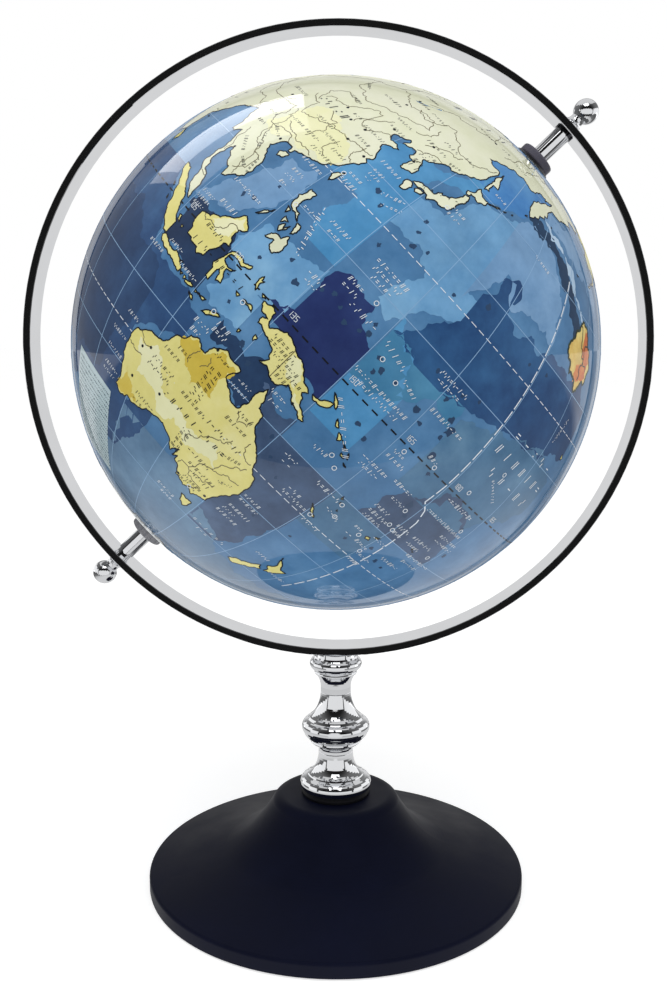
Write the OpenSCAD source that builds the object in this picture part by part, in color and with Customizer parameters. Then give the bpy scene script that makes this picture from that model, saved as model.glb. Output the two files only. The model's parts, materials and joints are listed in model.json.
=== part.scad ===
// Desktop globe on a stand: a globe made of two hemispheres turns on a tilted
// axle held inside a full meridian ring, which stands on a turned metal stem
// and a flared round base.
// Millimetres. Origin: centre of the underside. +Z is up, the meridian ring
// lies in the XZ plane, the front is -Y and the north pole leans towards +X.

/* [Globe] */
// Outside diameter of the globe
globe_d = 254; // [244:1:258]
// Wall thickness of the hemispheres
globe_wall = 2; // [1.5:0.1:3]
// Tilt of the axle away from vertical, in degrees
axle_tilt = 46.5; // [20:0.5:60]

/* [Meridian ring] */
// Outside diameter of the ring
ring_d = 306; // [304:1:320]
// Width of the ring's band, along the ring's own axis
band_w = 17.6; // [14:0.2:24]
// Radial thickness of the ring's band
band_t = 3.6; // [2.4:0.1:4.4]

/* [Axle and pole fittings] */
// Diameter of the axle inside the globe
axle_d = 6; // [5:0.5:7]
// Diameter of the axle's threaded ends
axle_end_d = 4; // [3:0.5:4.5]
// Radial running clearance between the axle and what turns on it
run_gap = 0.06; // [0.02:0.01:0.1]
// Diameter of the spacer sleeves beside the ring
sleeve_d = 8.6; // [8:0.1:10]
// Diameter of the pole caps that lie on the globe
cap_d = 17.8; // [16:0.2:22]
// Thickness of the pole caps
cap_t = 4.4; // [3:0.1:5]
// Diameter of the balls on the two finials
finial_d = 12; // [10:0.5:13]
// Number of flutes around the south pole cap
flute_count = 16; // [12:1:20]

/* [Stem] */
// Height of the stem between the base and the ring
stem_h = 76.3; // [70:0.1:90]
// Diameter of the tie rod inside the stem
tie_rod_d = 6; // [5:0.5:6]

/* [Base] */
// Diameter of the base
base_d = 195; // [190:1:210]
// Height of the base up to the flat seat of the stem
base_h = 46.3; // [44:0.1:50]
// Height of the base's upright rim
rim_h = 8; // [7:0.1:9]
// Thickness of the felt under the base
felt_t = 2.3; // [1.5:0.1:2.5]
// Number of screws that hold the bottom plate
screw_count = 3; // [3:1:6]

/* [Hidden] */
$fn = 96;

eps = 0.01;                         // overshoot that keeps cuts clean
fix_gap = 0.02;                     // gap between fixed pieces that touch
globe_r = globe_d / 2;
ring_r = ring_d / 2;
ring_in = ring_r - band_t;          // inner face of the ring
ring_bottom = base_h + stem_h;      // height of the ring's lowest point
ring_z = ring_bottom + ring_r;      // height of the ring's and globe's centre
axle_r = axle_d / 2;
axle_end_r = axle_end_d / 2;
bore_r = axle_r + run_gap;          // bore of everything that turns on the axle
tie_r = tie_rod_d / 2;
edge = 0.3;                         // small broken edge on turned metal

// Stations along the axle, measured from the globe's centre
pole_hole_r = 6;
flange_s = globe_r - 0.1;           // underside of a bushing's outer flange
flange_t = 1.2;
plate_s = flange_s + flange_t + 0.05;
plate_t = 0.8;
pole_cap_s = plate_s + plate_t + 0.05;
sleeve_s = pole_cap_s + cap_t + 0.35;
// A flat end stops here when it bears on the curved inside of the ring
seat_s = sqrt(ring_in * ring_in - sleeve_d * sleeve_d / 4) - fix_gap;
lock_t = 1;
ferrule_len = 2.1;
finial_s = ring_r + fix_gap;        // underside of a finial's collar
finial_ball_s = ring_r + 10;        // centre of a finial's ball
axle_end_s = finial_ball_s - 3;     // tip of a threaded end

// Base
shell_foot_z = 0.8;                 // the felt stands this far below the rim
plate_top = 5.5;                    // top of the steel bottom plate
plate_r = base_d / 2 - 5.3;
boss_r = 4.5;
boss_ring_r = 50;                   // radius of the ring of screw bosses
screw_r = 1.75;
screw_head_r = 3.4;
screw_head_h = 2;
screw_len = 11;
plate_hole_gap = 0.08;              // room around a screw in the plate
seat_t = 3.3;                       // metal under the stem's seat
nut_h = 5;
nut_flats = 10;
washer_t = 1.6;
washer_r = 11;

// Quadratic curve from a to c, drawn towards b, in n steps
function curve(a, b, c, n = 10) =
    [for (i = [0 : n]) let (t = i / n)
        (1 - t) * (1 - t) * a + 2 * t * (1 - t) * b + t * t * c];
// Arc about centre c with radius r, from angle a0 to a1, in n steps
function arc(c, r, a0, a1, n = 10) =
    [for (i = [0 : n]) let (a = a0 + (a1 - a0) * i / n)
        [c[0] + r * cos(a), c[1] + r * sin(a)]];
// Join lists of points into one outline
function join(lists) = [for (l = lists) for (p = l) p];
// Lift an outline's points by h
function lift(points, h) = [for (p = points) [p[0], p[1] + h]];

// Places its children on the tilted axle, +Z towards the north pole
module on_axle() {
    translate([0, 0, ring_z])
        rotate([0, axle_tilt, 0])
            children();
}

// Same, with +Z towards the south pole
module on_axle_south() {
    on_axle()
        rotate([180, 0, 0])
            children();
}

// Repeats its children around the base's screw circle
module at_screws() {
    for (i = [0 : screw_count - 1])
        rotate([0, 0, 90 + 360 * i / screw_count])
            translate([boss_ring_r, 0, 0])
                children();
}

// A flat ring between z0 and z1
module washer(r, bore, z0, z1) {
    difference() {
        translate([0, 0, z0])
            cylinder(r = r, h = z1 - z0);
        translate([0, 0, z0 - 1])
            cylinder(r = bore, h = z1 - z0 + 2);
    }
}

// ---- base ----

rim_round = 1.5;
bell_top = [27, base_h];
bell_shoulder = [33.2, base_h - 4.2];
bell_waist = [37.3, base_h - 10.7];
skirt_top = [57.5, 18.4];
skirt_end = [base_d / 2 - rim_round + 0.2, rim_h + 0.1];

module bell_solid() {
    rotate_extrude()
        polygon(join([
            [[0, shell_foot_z], [base_d / 2, shell_foot_z]],
            arc([base_d / 2 - rim_round, rim_h - rim_round],
                rim_round, 0, 82, 5),
            curve(skirt_end, [71.5, 13.8], skirt_top, 8),
            curve(skirt_top, [46.6, 22.2], bell_waist, 12),
            curve(bell_waist, [34.9, base_h - 7.2], bell_shoulder, 6),
            curve(bell_shoulder, [31.4, base_h], bell_top, 10),
            [[0, base_h]]]));
}

module bell_cavity() {
    inner_top = base_h - seat_t;
    rotate_extrude()
        polygon(join([
            [[0, shell_foot_z - 1],
             [plate_r + 0.3, shell_foot_z - 1],
             [plate_r + 0.3, plate_top],
             [plate_r - 4.2, plate_top]],
            curve([plate_r - 4.2, 7], [71, 10.6], [57, 15.2], 6),
            curve([57, 15.2], [44.2, 19.4], [34.8, inner_top - 9.4], 8),
            curve([34.8, inner_top - 9.4], [32.6, inner_top - 6.6],
                  [30.6, inner_top - 3], 5),
            curve([30.6, inner_top - 3], [29.8, inner_top],
                  [27, inner_top], 5),
            [[0, inner_top]]]));
}

module base_shell() {
    color([0.03, 0.04, 0.12])
        difference() {
            bell_solid();
            difference() {
                bell_cavity();
                at_screws()
                    translate([0, 0, plate_top])
                        cylinder(r = boss_r, h = base_h, $fn = 48);
            }
            cylinder(r = tie_r + 0.3, h = base_h + 1, $fn = 48);
            at_screws()
                translate([0, 0, plate_top - 1])
                    cylinder(r = screw_r + fix_gap, h = screw_len + 1, $fn = 32);
        }
}

module base_weight() {
    color([0.45, 0.45, 0.47])
        difference() {
            translate([0, 0, felt_t])
                cylinder(r = plate_r, h = plate_top - felt_t);
            at_screws() {
                translate([0, 0, felt_t - eps])
                    cylinder(r1 = screw_head_r + plate_hole_gap,
                             r2 = screw_r + plate_hole_gap,
                             h = screw_head_h, $fn = 32);
                translate([0, 0, felt_t - 1])
                    cylinder(r = screw_r + plate_hole_gap, h = plate_top,
                             $fn = 32);
            }
        }
}

module felt_pad() {
    color([0.06, 0.06, 0.07])
        cylinder(r = plate_r - 0.4, h = felt_t);
}

module base_plate_screws() {
    color([0.6, 0.6, 0.62])
        at_screws()
            translate([0, 0, felt_t])
                union() {
                    cylinder(r1 = screw_head_r, r2 = screw_r,
                             h = screw_head_h, $fn = 32);
                    cylinder(r = screw_r, h = screw_len, $fn = 32);
                }
}

// ---- stem ----

rod_low = base_h - seat_t - washer_t - nut_h - 4;
ring_socket = 2;                    // how far the rod enters the ring's band

module tie_rod() {
    color([0.6, 0.6, 0.62])
        translate([0, 0, rod_low])
            cylinder(r = tie_r, h = ring_bottom + ring_socket - 0.2 - rod_low,
                     $fn = 48);
}

module tie_rod_washer() {
    washer_top = base_h - seat_t;
    color([0.6, 0.6, 0.62])
        washer(washer_r, tie_r + 0.2, washer_top - washer_t, washer_top);
}

module tie_rod_nut() {
    nut_top = base_h - seat_t - washer_t;
    color([0.6, 0.6, 0.62])
        difference() {
            translate([0, 0, nut_top - nut_h])
                cylinder(d = nut_flats / cos(30), h = nut_h, $fn = 6);
            translate([0, 0, nut_top - nut_h - 1])
                cylinder(r = tie_r + fix_gap, h = nut_h + 2, $fn = 48);
        }
}

// Heights up the stem are measured from the stem's seat on the base.
foot_top = 23;                      // joint between the foot and the knop
knop_top = 55;                      // joint between the knop and the cap
stem_bore = tie_r + 0.3;

module turned_stem_piece(outline) {
    color([0.82, 0.83, 0.85])
        difference() {
            rotate_extrude()
                polygon(lift(outline, base_h));
            translate([0, 0, base_h - 1])
                cylinder(r = stem_bore, h = stem_h + 2, $fn = 48);
        }
}

// Foot: a lip, a rolled bulge, a sharp fold and a hollow neck
module stem_foot() {
    turned_stem_piece(join([
        [[0, 0], [17.3, 0], [17.7, 0.5], [17.7, 1.4]],
        arc([14.2, 5.9], 4.3, -50, 72, 12),
        [[14.6, 10.6]],
        curve([14.2, 11.2], [10.6, 13.2], [9.5, 18.2], 10),
        curve([9.5, 18.2], [8.9, 20.4], [8.9, foot_top - 0.2], 4),
        [[8.8, foot_top], [0, foot_top]]]));
}

// Knop: a bead, a wide rolled bulge, a sharp fold and a flared neck
module stem_knop() {
    turned_stem_piece(join([
        [[0, foot_top], [8.8, foot_top], [8.9, foot_top + 0.2]],
        curve([8.9, 24.6], [9.1, 26.6], [12.2, 28], 8),
        arc([12.3, 28.9], 0.9, -90, 70, 5),
        curve([13, 30.1], [15, 30.5], [16.3, 32.6], 5),
        arc([13.2, 36.4], 4.4, -38, 74, 12),
        [[14, 41.2]],
        curve([13.6, 41.8], [10, 44.4], [8.5, 50.2], 10),
        curve([8.5, 50.2], [7.9, 52.6], [7.8, knop_top - 0.2], 4),
        [[7.7, knop_top], [0, knop_top]]]));
}

// Cap: a flared neck, a bead and the rolled torus that carries the ring.
// Its top is cut to the ring's curve.
module stem_cap() {
    difference() {
        turned_stem_piece(join([
            [[0, knop_top], [7.7, knop_top], [7.8, knop_top + 0.2]],
            curve([7.8, 58], [8, 61.6], [10.2, 64.6], 10),
            arc([10.2, 65.5], 0.85, -80, 70, 5),
            [[10.5, 66.6]],
            arc([10.2, 70.2], 3.2, -70, 62, 12),
            curve([11.7, 73], [10.6, 73.8], [10.4, stem_h + 1], 4),
            [[0, stem_h + 1]]]));
        translate([0, 0, ring_z])
            rotate([90, 0, 0])
                cylinder(r = ring_r, h = 60, center = true, $fn = 180);
    }
}

// ---- meridian ring ----

module meridian_ring() {
    half = band_w / 2;
    color([0.75, 0.76, 0.78])
        difference() {
            translate([0, 0, ring_z])
                rotate([90, 0, 0])
                    rotate_extrude($fn = 180)
                        polygon([
                            [ring_in + edge, -half], [ring_r - edge, -half],
                            [ring_r, -half + edge], [ring_r, half - edge],
                            [ring_r - edge, half], [ring_in + edge, half],
                            [ring_in, half - edge], [ring_in, -half + edge]]);
            on_axle()
                translate([0, 0, -ring_r - 1])
                    cylinder(r = axle_end_r + 0.1, h = ring_d + 2, $fn = 48);
            translate([0, 0, ring_bottom - 1])
                cylinder(r = tie_r + fix_gap, h = ring_socket + 1, $fn = 48);
        }
}

// ---- axle and its fittings ----

module axle_rod() {
    color([0.7, 0.7, 0.72])
        on_axle()
            union() {
                translate([0, 0, -seat_s])
                    cylinder(r = axle_r, h = 2 * seat_s, $fn = 64);
                translate([0, 0, -axle_end_s])
                    cylinder(r = axle_end_r, h = 2 * axle_end_s, $fn = 64);
            }
}

// Ball finial with a collar that bears on the outside of the ring
module finial() {
    ball_r = finial_d / 2;
    neck_r = 3.4;
    join_angle = acos(neck_r / ball_r);
    difference() {
        rotate_extrude()
            polygon(join([
                [[0, finial_s], [4.8, finial_s], [5.1, finial_s + 0.3],
                 [5.1, finial_s + 1.1], [4.8, finial_s + 1.5]],
                curve([4.6, finial_s + 1.6], [3.5, finial_s + 2.4],
                      [neck_r, finial_s + 4], 6),
                arc([0, finial_ball_s], ball_r, -join_angle, 90, 24)]));
        translate([0, 0, finial_s - 1])
            cylinder(r = axle_end_r + fix_gap,
                     h = axle_end_s + 0.2 - finial_s + 1, $fn = 48);
    }
}

module north_finial() {
    color([0.82, 0.83, 0.85])
        on_axle()
            finial();
}

module south_finial() {
    color([0.82, 0.83, 0.85])
        on_axle_south()
            finial();
}

module north_sleeve() {
    color([0.8, 0.8, 0.82])
        on_axle()
            washer(sleeve_d / 2, axle_r + fix_gap,
                   sleeve_s, seat_s - lock_t - fix_gap, $fn = 64);
}

module south_sleeve() {
    color([0.8, 0.8, 0.82])
        on_axle_south()
            washer(sleeve_d / 2, axle_r + fix_gap,
                   sleeve_s, seat_s - ferrule_len - fix_gap, $fn = 64);
}

// Toothed lock washer between the north sleeve and the ring
module north_lock_washer() {
    teeth = 10;
    tooth_r = sleeve_d / 2 + 0.6;
    color([0.12, 0.12, 0.13])
        on_axle()
            difference() {
                washer(tooth_r, axle_r + fix_gap, seat_s - lock_t, seat_s);
                for (i = [0 : teeth - 1])
                    rotate([0, 0, 360 * i / teeth])
                        translate([tooth_r + 0.1, 0, seat_s - lock_t - 1])
                            cylinder(r = 0.75, h = lock_t + 2, $fn = 24);
            }
}

module south_ferrule() {
    color([0.85, 0.85, 0.87])
        on_axle_south()
            washer(sleeve_d / 2 - 0.55, axle_r + fix_gap,
                   seat_s - ferrule_len, seat_s, $fn = 64);
}

// ---- globe ----

// Half a hollow ball with its pole up and a hole at the pole
module hemisphere() {
    difference() {
        sphere(r = globe_r, $fn = 180);
        sphere(r = globe_r - globe_wall, $fn = 180);
        translate([0, 0, -globe_r - 1])
            cylinder(r = globe_r + 1, h = globe_r + 1, $fn = 48);
        cylinder(r = pole_hole_r, h = globe_r + 1, $fn = 64);
    }
}

module north_hemisphere() {
    color([0.16, 0.3, 0.5])
        on_axle()
            hemisphere();
}

module south_hemisphere() {
    color([0.14, 0.26, 0.46])
        on_axle_south()
            hemisphere();
}

// Ring inside the globe that joins the two hemispheres at the equator
module equator_coupling() {
    coupling_r = globe_r - globe_wall - fix_gap;
    half_angle = 3.2;
    coupling_t = 2.4;
    color([0.85, 0.85, 0.82])
        on_axle()
            rotate_extrude($fn = 180)
                polygon(join([
                    arc([0, 0], coupling_r, -half_angle, half_angle, 6),
                    arc([0, 0], coupling_r - coupling_t,
                        half_angle, -half_angle, 6)]));
}

// Snap-in plastic bushing: flange outside, barrel in the hole, lip inside
module bushing() {
    inner_lip_s = globe_r - globe_wall - 0.3;
    rotate_extrude($fn = 64)
        polygon([
            [bore_r, inner_lip_s - 6], [5.2, inner_lip_s - 6],
            [7.4, inner_lip_s - 1.6], [7.4, inner_lip_s],
            [pole_hole_r - 0.05, inner_lip_s],
            [pole_hole_r - 0.05, flange_s], [9, flange_s],
            [9, flange_s + flange_t - 0.4], [8.6, flange_s + flange_t],
            [bore_r, flange_s + flange_t]]);
}

module north_bushing() {
    color([0.2, 0.2, 0.22])
        on_axle()
            bushing();
}

module south_bushing() {
    color([0.2, 0.2, 0.22])
        on_axle_south()
            bushing();
}

// Thin steel plate between a bushing and its pole cap
module pole_plate() {
    washer(cap_d / 2 + 1, bore_r, plate_s, plate_s + plate_t);
}

module north_pole_plate() {
    color([0.7, 0.7, 0.72])
        on_axle()
            pole_plate();
}

module south_pole_plate() {
    color([0.7, 0.7, 0.72])
        on_axle_south()
            pole_plate();
}

// Round cap with softened edges
module pole_cap() {
    cap_r = cap_d / 2;
    soft = 1.1;
    rotate_extrude()
        polygon(join([
            [[bore_r, pole_cap_s]],
            arc([cap_r - soft, pole_cap_s + soft], soft, -90, 0, 5),
            arc([cap_r - soft, pole_cap_s + cap_t - soft], soft, 0, 90, 5),
            [[bore_r, pole_cap_s + cap_t]]]));
}

module north_pole_cap() {
    color([0.33, 0.32, 0.37])
        on_axle()
            pole_cap();
}

// The south cap is the same cap with flutes around its edge
module south_pole_cap() {
    flute_r = 1.05;
    color([0.6, 0.6, 0.63])
        on_axle_south()
            difference() {
                pole_cap();
                for (i = [0 : flute_count - 1])
                    rotate([0, 0, 360 * i / flute_count])
                        translate([cap_d / 2 + 0.35, 0, pole_cap_s - 1])
                            cylinder(r = flute_r, h = cap_t + 2, $fn = 24);
            }
}

base_shell();
base_weight();
felt_pad();
base_plate_screws();
tie_rod();
tie_rod_washer();
tie_rod_nut();
stem_foot();
stem_knop();
stem_cap();
meridian_ring();
axle_rod();
north_finial();
south_finial();
north_sleeve();
south_sleeve();
north_lock_washer();
south_ferrule();
north_hemisphere();
south_hemisphere();
equator_coupling();
north_bushing();
south_bushing();
north_pole_plate();
south_pole_plate();
north_pole_cap();
south_pole_cap();
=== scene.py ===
"""Looks of the desktop globe: the printed map on its ball, the finishes of its
metal, paint, plastic and felt, and the studio around it. Metres throughout."""

import json
import math
import random

import bpy
from mathutils import Matrix, Vector
from mathutils.geometry import delaunay_2d_cdt


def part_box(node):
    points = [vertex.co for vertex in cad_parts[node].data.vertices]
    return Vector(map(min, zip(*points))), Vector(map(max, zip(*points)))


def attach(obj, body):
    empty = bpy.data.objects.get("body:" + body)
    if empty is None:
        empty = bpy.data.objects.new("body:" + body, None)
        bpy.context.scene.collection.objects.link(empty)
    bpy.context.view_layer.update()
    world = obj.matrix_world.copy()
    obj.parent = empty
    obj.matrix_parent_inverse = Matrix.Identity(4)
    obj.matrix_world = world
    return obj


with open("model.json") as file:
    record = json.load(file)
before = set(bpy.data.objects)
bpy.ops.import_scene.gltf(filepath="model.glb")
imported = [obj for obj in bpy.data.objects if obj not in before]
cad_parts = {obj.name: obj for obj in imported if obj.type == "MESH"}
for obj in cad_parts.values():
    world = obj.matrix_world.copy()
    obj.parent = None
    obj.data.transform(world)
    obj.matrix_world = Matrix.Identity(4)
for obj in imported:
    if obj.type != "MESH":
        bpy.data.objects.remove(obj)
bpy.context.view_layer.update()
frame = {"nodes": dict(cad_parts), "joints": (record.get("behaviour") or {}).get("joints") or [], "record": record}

MM = 0.001

# ---------------------------------------------------------------------------
# The globe's own coordinates: longitude and latitude on the tilted ball
# ---------------------------------------------------------------------------
spin = frame["joints"][0]
globe_centre = Vector(spin["pos_m"])
pole_axis = Vector(spin["axis"]).normalized()
front_axis = Vector((0, -1, 0))
side_axis = Vector((pole_axis.z, 0, -pole_axis.x))
ball_low, ball_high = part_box("north_hemisphere")
BALL_R = (ball_high.y - ball_low.y) / 2
FACING_LON = 145.5  # longitude that faces the front at rest

# Heights of the printed layers above the ball
SKIN_UP = 0.05 * MM
TONE_UP = 0.08 * MM
TONE_STEP = 0.001 * MM
GRID_UP = 0.11 * MM
LAND_UP = 0.15 * MM
LINE_UP = 0.18 * MM
MARK_UP = 0.20 * MM
OVER_UP = 0.01 * MM  # a layer printed over another of the same height
OVER_LAND_UP = 0.012 * MM
LAYER_T = 0.06 * MM
SKIN_LAT = 86  # the skin ends under the pole plates


def outward(lon, lat):
    """Unit vector from the globe's centre through a point of the map."""
    east = math.radians(lon - FACING_LON)
    north = math.radians(lat)
    return (
        side_axis * (math.cos(north) * math.sin(east))
        + front_axis * (math.cos(north) * math.cos(east))
        + pole_axis * math.sin(north)
    )


# ---------------------------------------------------------------------------
# Map data: (longitude, latitude) in degrees, east and north positive
# ---------------------------------------------------------------------------
OLD_WORLD = [
    # Malay peninsula, Gulf of Thailand, Vietnam
    (103.9, 1.3), (103.4, 2.6), (103.4, 4.5), (102.6, 6.0), (101.4, 6.9), (100.4, 7.4),
    (100.2, 8.6), (99.3, 9.4), (99.3, 10.6), (99.9, 11.9), (100.0, 13.3), (100.9, 13.4),
    (101.0, 12.7), (102.3, 12.1), (103.1, 10.9), (104.4, 10.5), (104.8, 8.6), (106.6, 9.7),
    (107.3, 10.4), (109.0, 11.4), (109.3, 13.2), (108.9, 15.3), (107.6, 16.7), (106.4, 17.9),
    (105.7, 18.9), (106.5, 20.2), (108.0, 21.5),
    # China
    (109.5, 21.5), (109.8, 20.4), (110.5, 20.4), (110.6, 21.3), (112.8, 21.9), (114.2, 22.4),
    (116.5, 23.0), (118.1, 24.5), (119.5, 25.6), (120.1, 26.9), (121.4, 28.4), (121.9, 29.8),
    (120.9, 30.4), (121.9, 31.2), (120.9, 32.8), (120.3, 34.2), (119.3, 35.1), (120.4, 36.1),
    (122.5, 37.0), (121.0, 37.6), (119.1, 37.3), (118.0, 38.2), (117.8, 39.1), (119.5, 39.8),
    (121.2, 40.9), (121.9, 40.1), (121.2, 38.8), (123.3, 39.7),
    # Korea and the far east of Asia
    (124.6, 39.8), (125.3, 38.7), (124.9, 37.9), (126.6, 37.4), (126.4, 36.2), (126.3, 34.6),
    (127.6, 34.7), (129.2, 35.2), (129.4, 36.8), (128.4, 38.4), (127.5, 39.6), (129.7, 41.1),
    (130.7, 42.3), (132.0, 43.2), (133.3, 42.8), (135.6, 44.3), (138.2, 46.3), (140.3, 48.5),
    (140.6, 50.8), (141.4, 52.6), (140.2, 53.9), (137.7, 53.7), (135.3, 54.8), (137.8, 56.3),
    (140.5, 57.8), (143.0, 59.2), (146.5, 59.4), (149.2, 59.7), (151.5, 59.0), (154.9, 59.5),
    (156.8, 61.5), (160.3, 61.8), (160.3, 60.7), (162.9, 61.8), (164.6, 62.5), (163.2, 60.8),
    (161.9, 60.2), (159.8, 59.4), (157.2, 57.8), (155.8, 56.6), (155.6, 54.5), (156.0, 52.5),
    (156.7, 51.1), (158.4, 52.7), (160.0, 53.2), (160.0, 54.4), (162.1, 54.9), (161.9, 56.0),
    (163.2, 56.2), (162.9, 57.8), (164.6, 59.8), (166.2, 60.0), (170.3, 60.0), (172.6, 61.2),
    (177.2, 62.6), (179.3, 62.4), (178.4, 64.2), (177.6, 64.7), (181.3, 65.2), (184.0, 65.4),
    (187.0, 64.4), (187.8, 65.4), (190.1, 66.0), (188.2, 66.9), (185.0, 67.4), (180.0, 69.0),
    (176.0, 69.7), (170.5, 70.0), (170.0, 69.1), (164.5, 69.7), (160.0, 69.6), (158.0, 71.0),
    (152.0, 70.9), (150.0, 71.6), (140.0, 72.5), (133.0, 71.5), (129.5, 71.0), (126.5, 73.5),
    (119.0, 73.1), (113.5, 73.6), (106.0, 73.2), (113.0, 76.2), (104.5, 77.6), (100.0, 76.4),
    (93.0, 76.0), (87.0, 75.0), (80.5, 73.6), (80.3, 72.1), (74.5, 73.0), (73.0, 71.4),
    (74.0, 68.4), (72.0, 66.4), (70.5, 68.2), (73.0, 70.5), (69.5, 73.0), (66.8, 70.5),
    (67.8, 68.6), (60.8, 69.9), (54.0, 68.8), (47.0, 67.6), (43.8, 66.3), (43.5, 68.5),
    (39.8, 65.2), (36.8, 63.9), (33.0, 66.6), (40.8, 66.4), (41.0, 67.6), (36.0, 69.1),
    (31.0, 69.8), (27.8, 71.0), (22.0, 70.3), (16.5, 68.6), (12.5, 66.0), (10.2, 63.9),
    (5.0, 61.8), (5.4, 58.9), (7.5, 58.1), (10.5, 59.3), (12.7, 56.2), (14.3, 55.5),
    (16.4, 56.8), (17.6, 58.9), (18.9, 60.2), (17.3, 61.8), (21.3, 64.4), (24.2, 65.8),
    (25.3, 65.0), (21.5, 62.8), (21.6, 60.6), (25.0, 60.1), (29.8, 60.1), (28.0, 59.4),
    (23.5, 59.2), (24.3, 57.3), (21.3, 57.2), (20.5, 55.0), (18.5, 54.7), (14.2, 54.0),
    (10.9, 54.1), (10.6, 57.5), (8.2, 57.0), (8.6, 54.0), (5.0, 53.2), (3.4, 51.4),
    (1.6, 50.7), (0.2, 49.5), (-1.6, 49.6), (-1.8, 48.6), (-4.7, 48.4), (-2.2, 47.2),
    (-1.2, 45.5), (-1.8, 43.4), (-8.0, 43.7), (-9.3, 41.0), (-9.4, 38.8), (-8.9, 37.0),
    (-6.3, 36.8), (-5.5, 36.0), (-2.2, 36.8), (-0.2, 38.6), (0.3, 40.2), (3.2, 42.0),
    (4.5, 43.4), (7.5, 43.8), (9.0, 44.4), (10.4, 43.2), (12.5, 41.6), (15.6, 40.0),
    (16.0, 38.0), (17.1, 39.0), (16.9, 40.4), (18.5, 40.1), (16.0, 41.7), (13.6, 43.6),
    (12.4, 45.2), (13.7, 45.6), (15.2, 44.2), (19.4, 41.8), (19.4, 40.3), (21.2, 38.3),
    (21.7, 36.8), (23.1, 36.5), (24.0, 38.0), (22.9, 40.4), (26.0, 40.8), (26.3, 39.0),
    (27.4, 37.0), (30.6, 36.7), (32.6, 36.1), (36.0, 36.7), (35.8, 35.0), (34.5, 31.6),
    (32.3, 31.2),
    # Africa
    (29.9, 31.0), (25.0, 31.6), (21.5, 32.8), (19.5, 30.5), (15.3, 32.2), (11.0, 33.4),
    (10.9, 36.9), (9.8, 37.3), (3.0, 36.8), (-2.0, 35.1), (-5.4, 35.8), (-7.0, 33.8),
    (-9.7, 31.0), (-13.0, 27.8), (-16.0, 24.0), (-17.0, 21.0), (-16.4, 19.0), (-17.4, 14.7),
    (-16.7, 12.3), (-13.5, 9.5), (-11.5, 6.9), (-7.6, 4.4), (-3.0, 5.0), (1.2, 6.1),
    (4.4, 6.4), (6.1, 4.3), (9.0, 4.4), (9.6, 2.0), (8.8, -0.7), (12.2, -5.8),
    (13.6, -10.0), (12.4, -14.0), (11.8, -17.5), (14.4, -22.5), (15.1, -26.5), (17.3, -31.0),
    (18.3, -34.2), (20.0, -34.8), (25.7, -34.0), (30.0, -31.2), (32.8, -28.2), (32.7, -26.0),
    (35.5, -24.0), (34.9, -20.2), (38.0, -17.2), (40.6, -15.0), (40.5, -10.6), (39.3, -7.0),
    (39.7, -4.2), (41.6, -1.7), (46.0, 2.3), (50.0, 8.0), (51.2, 11.8), (48.0, 11.2),
    (44.5, 10.5), (43.2, 12.2), (39.8, 15.2), (37.3, 19.0), (36.9, 21.8), (34.2, 26.2),
    (32.6, 29.9),
    # Arabia, the Gulf, India, Burma
    (34.2, 27.8), (34.9, 29.4), (35.2, 28.1), (37.2, 25.0), (39.1, 21.5), (42.6, 16.8),
    (43.4, 12.8), (45.0, 12.9), (49.0, 14.1), (52.2, 15.6), (55.3, 17.6), (57.8, 19.0),
    (59.8, 22.5), (58.2, 23.7), (56.4, 24.9), (56.3, 26.3), (54.0, 24.1), (51.7, 24.3),
    (51.4, 26.0), (50.2, 26.6), (48.0, 29.9), (50.1, 30.1), (51.3, 28.0), (54.5, 26.5),
    (57.0, 27.0), (58.8, 25.5), (61.6, 25.2), (66.6, 25.2), (68.2, 23.6), (70.3, 22.8),
    (69.1, 22.2), (70.6, 20.8), (72.6, 21.3), (72.9, 19.0), (73.8, 15.7), (74.8, 12.8),
    (76.3, 9.8), (77.5, 8.1), (78.3, 9.0), (79.8, 10.4), (80.2, 13.2), (80.1, 15.6),
    (82.3, 16.7), (85.0, 19.5), (87.0, 21.1), (89.5, 21.8), (91.8, 22.5), (92.4, 20.7),
    (94.3, 18.2), (94.3, 16.0), (95.4, 15.8), (97.0, 17.1), (97.7, 15.2), (98.7, 12.5),
    (98.5, 10.0), (98.3, 8.2), (99.8, 6.7), (100.4, 5.4), (101.3, 3.0), (103.4, 1.4),
]
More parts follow.
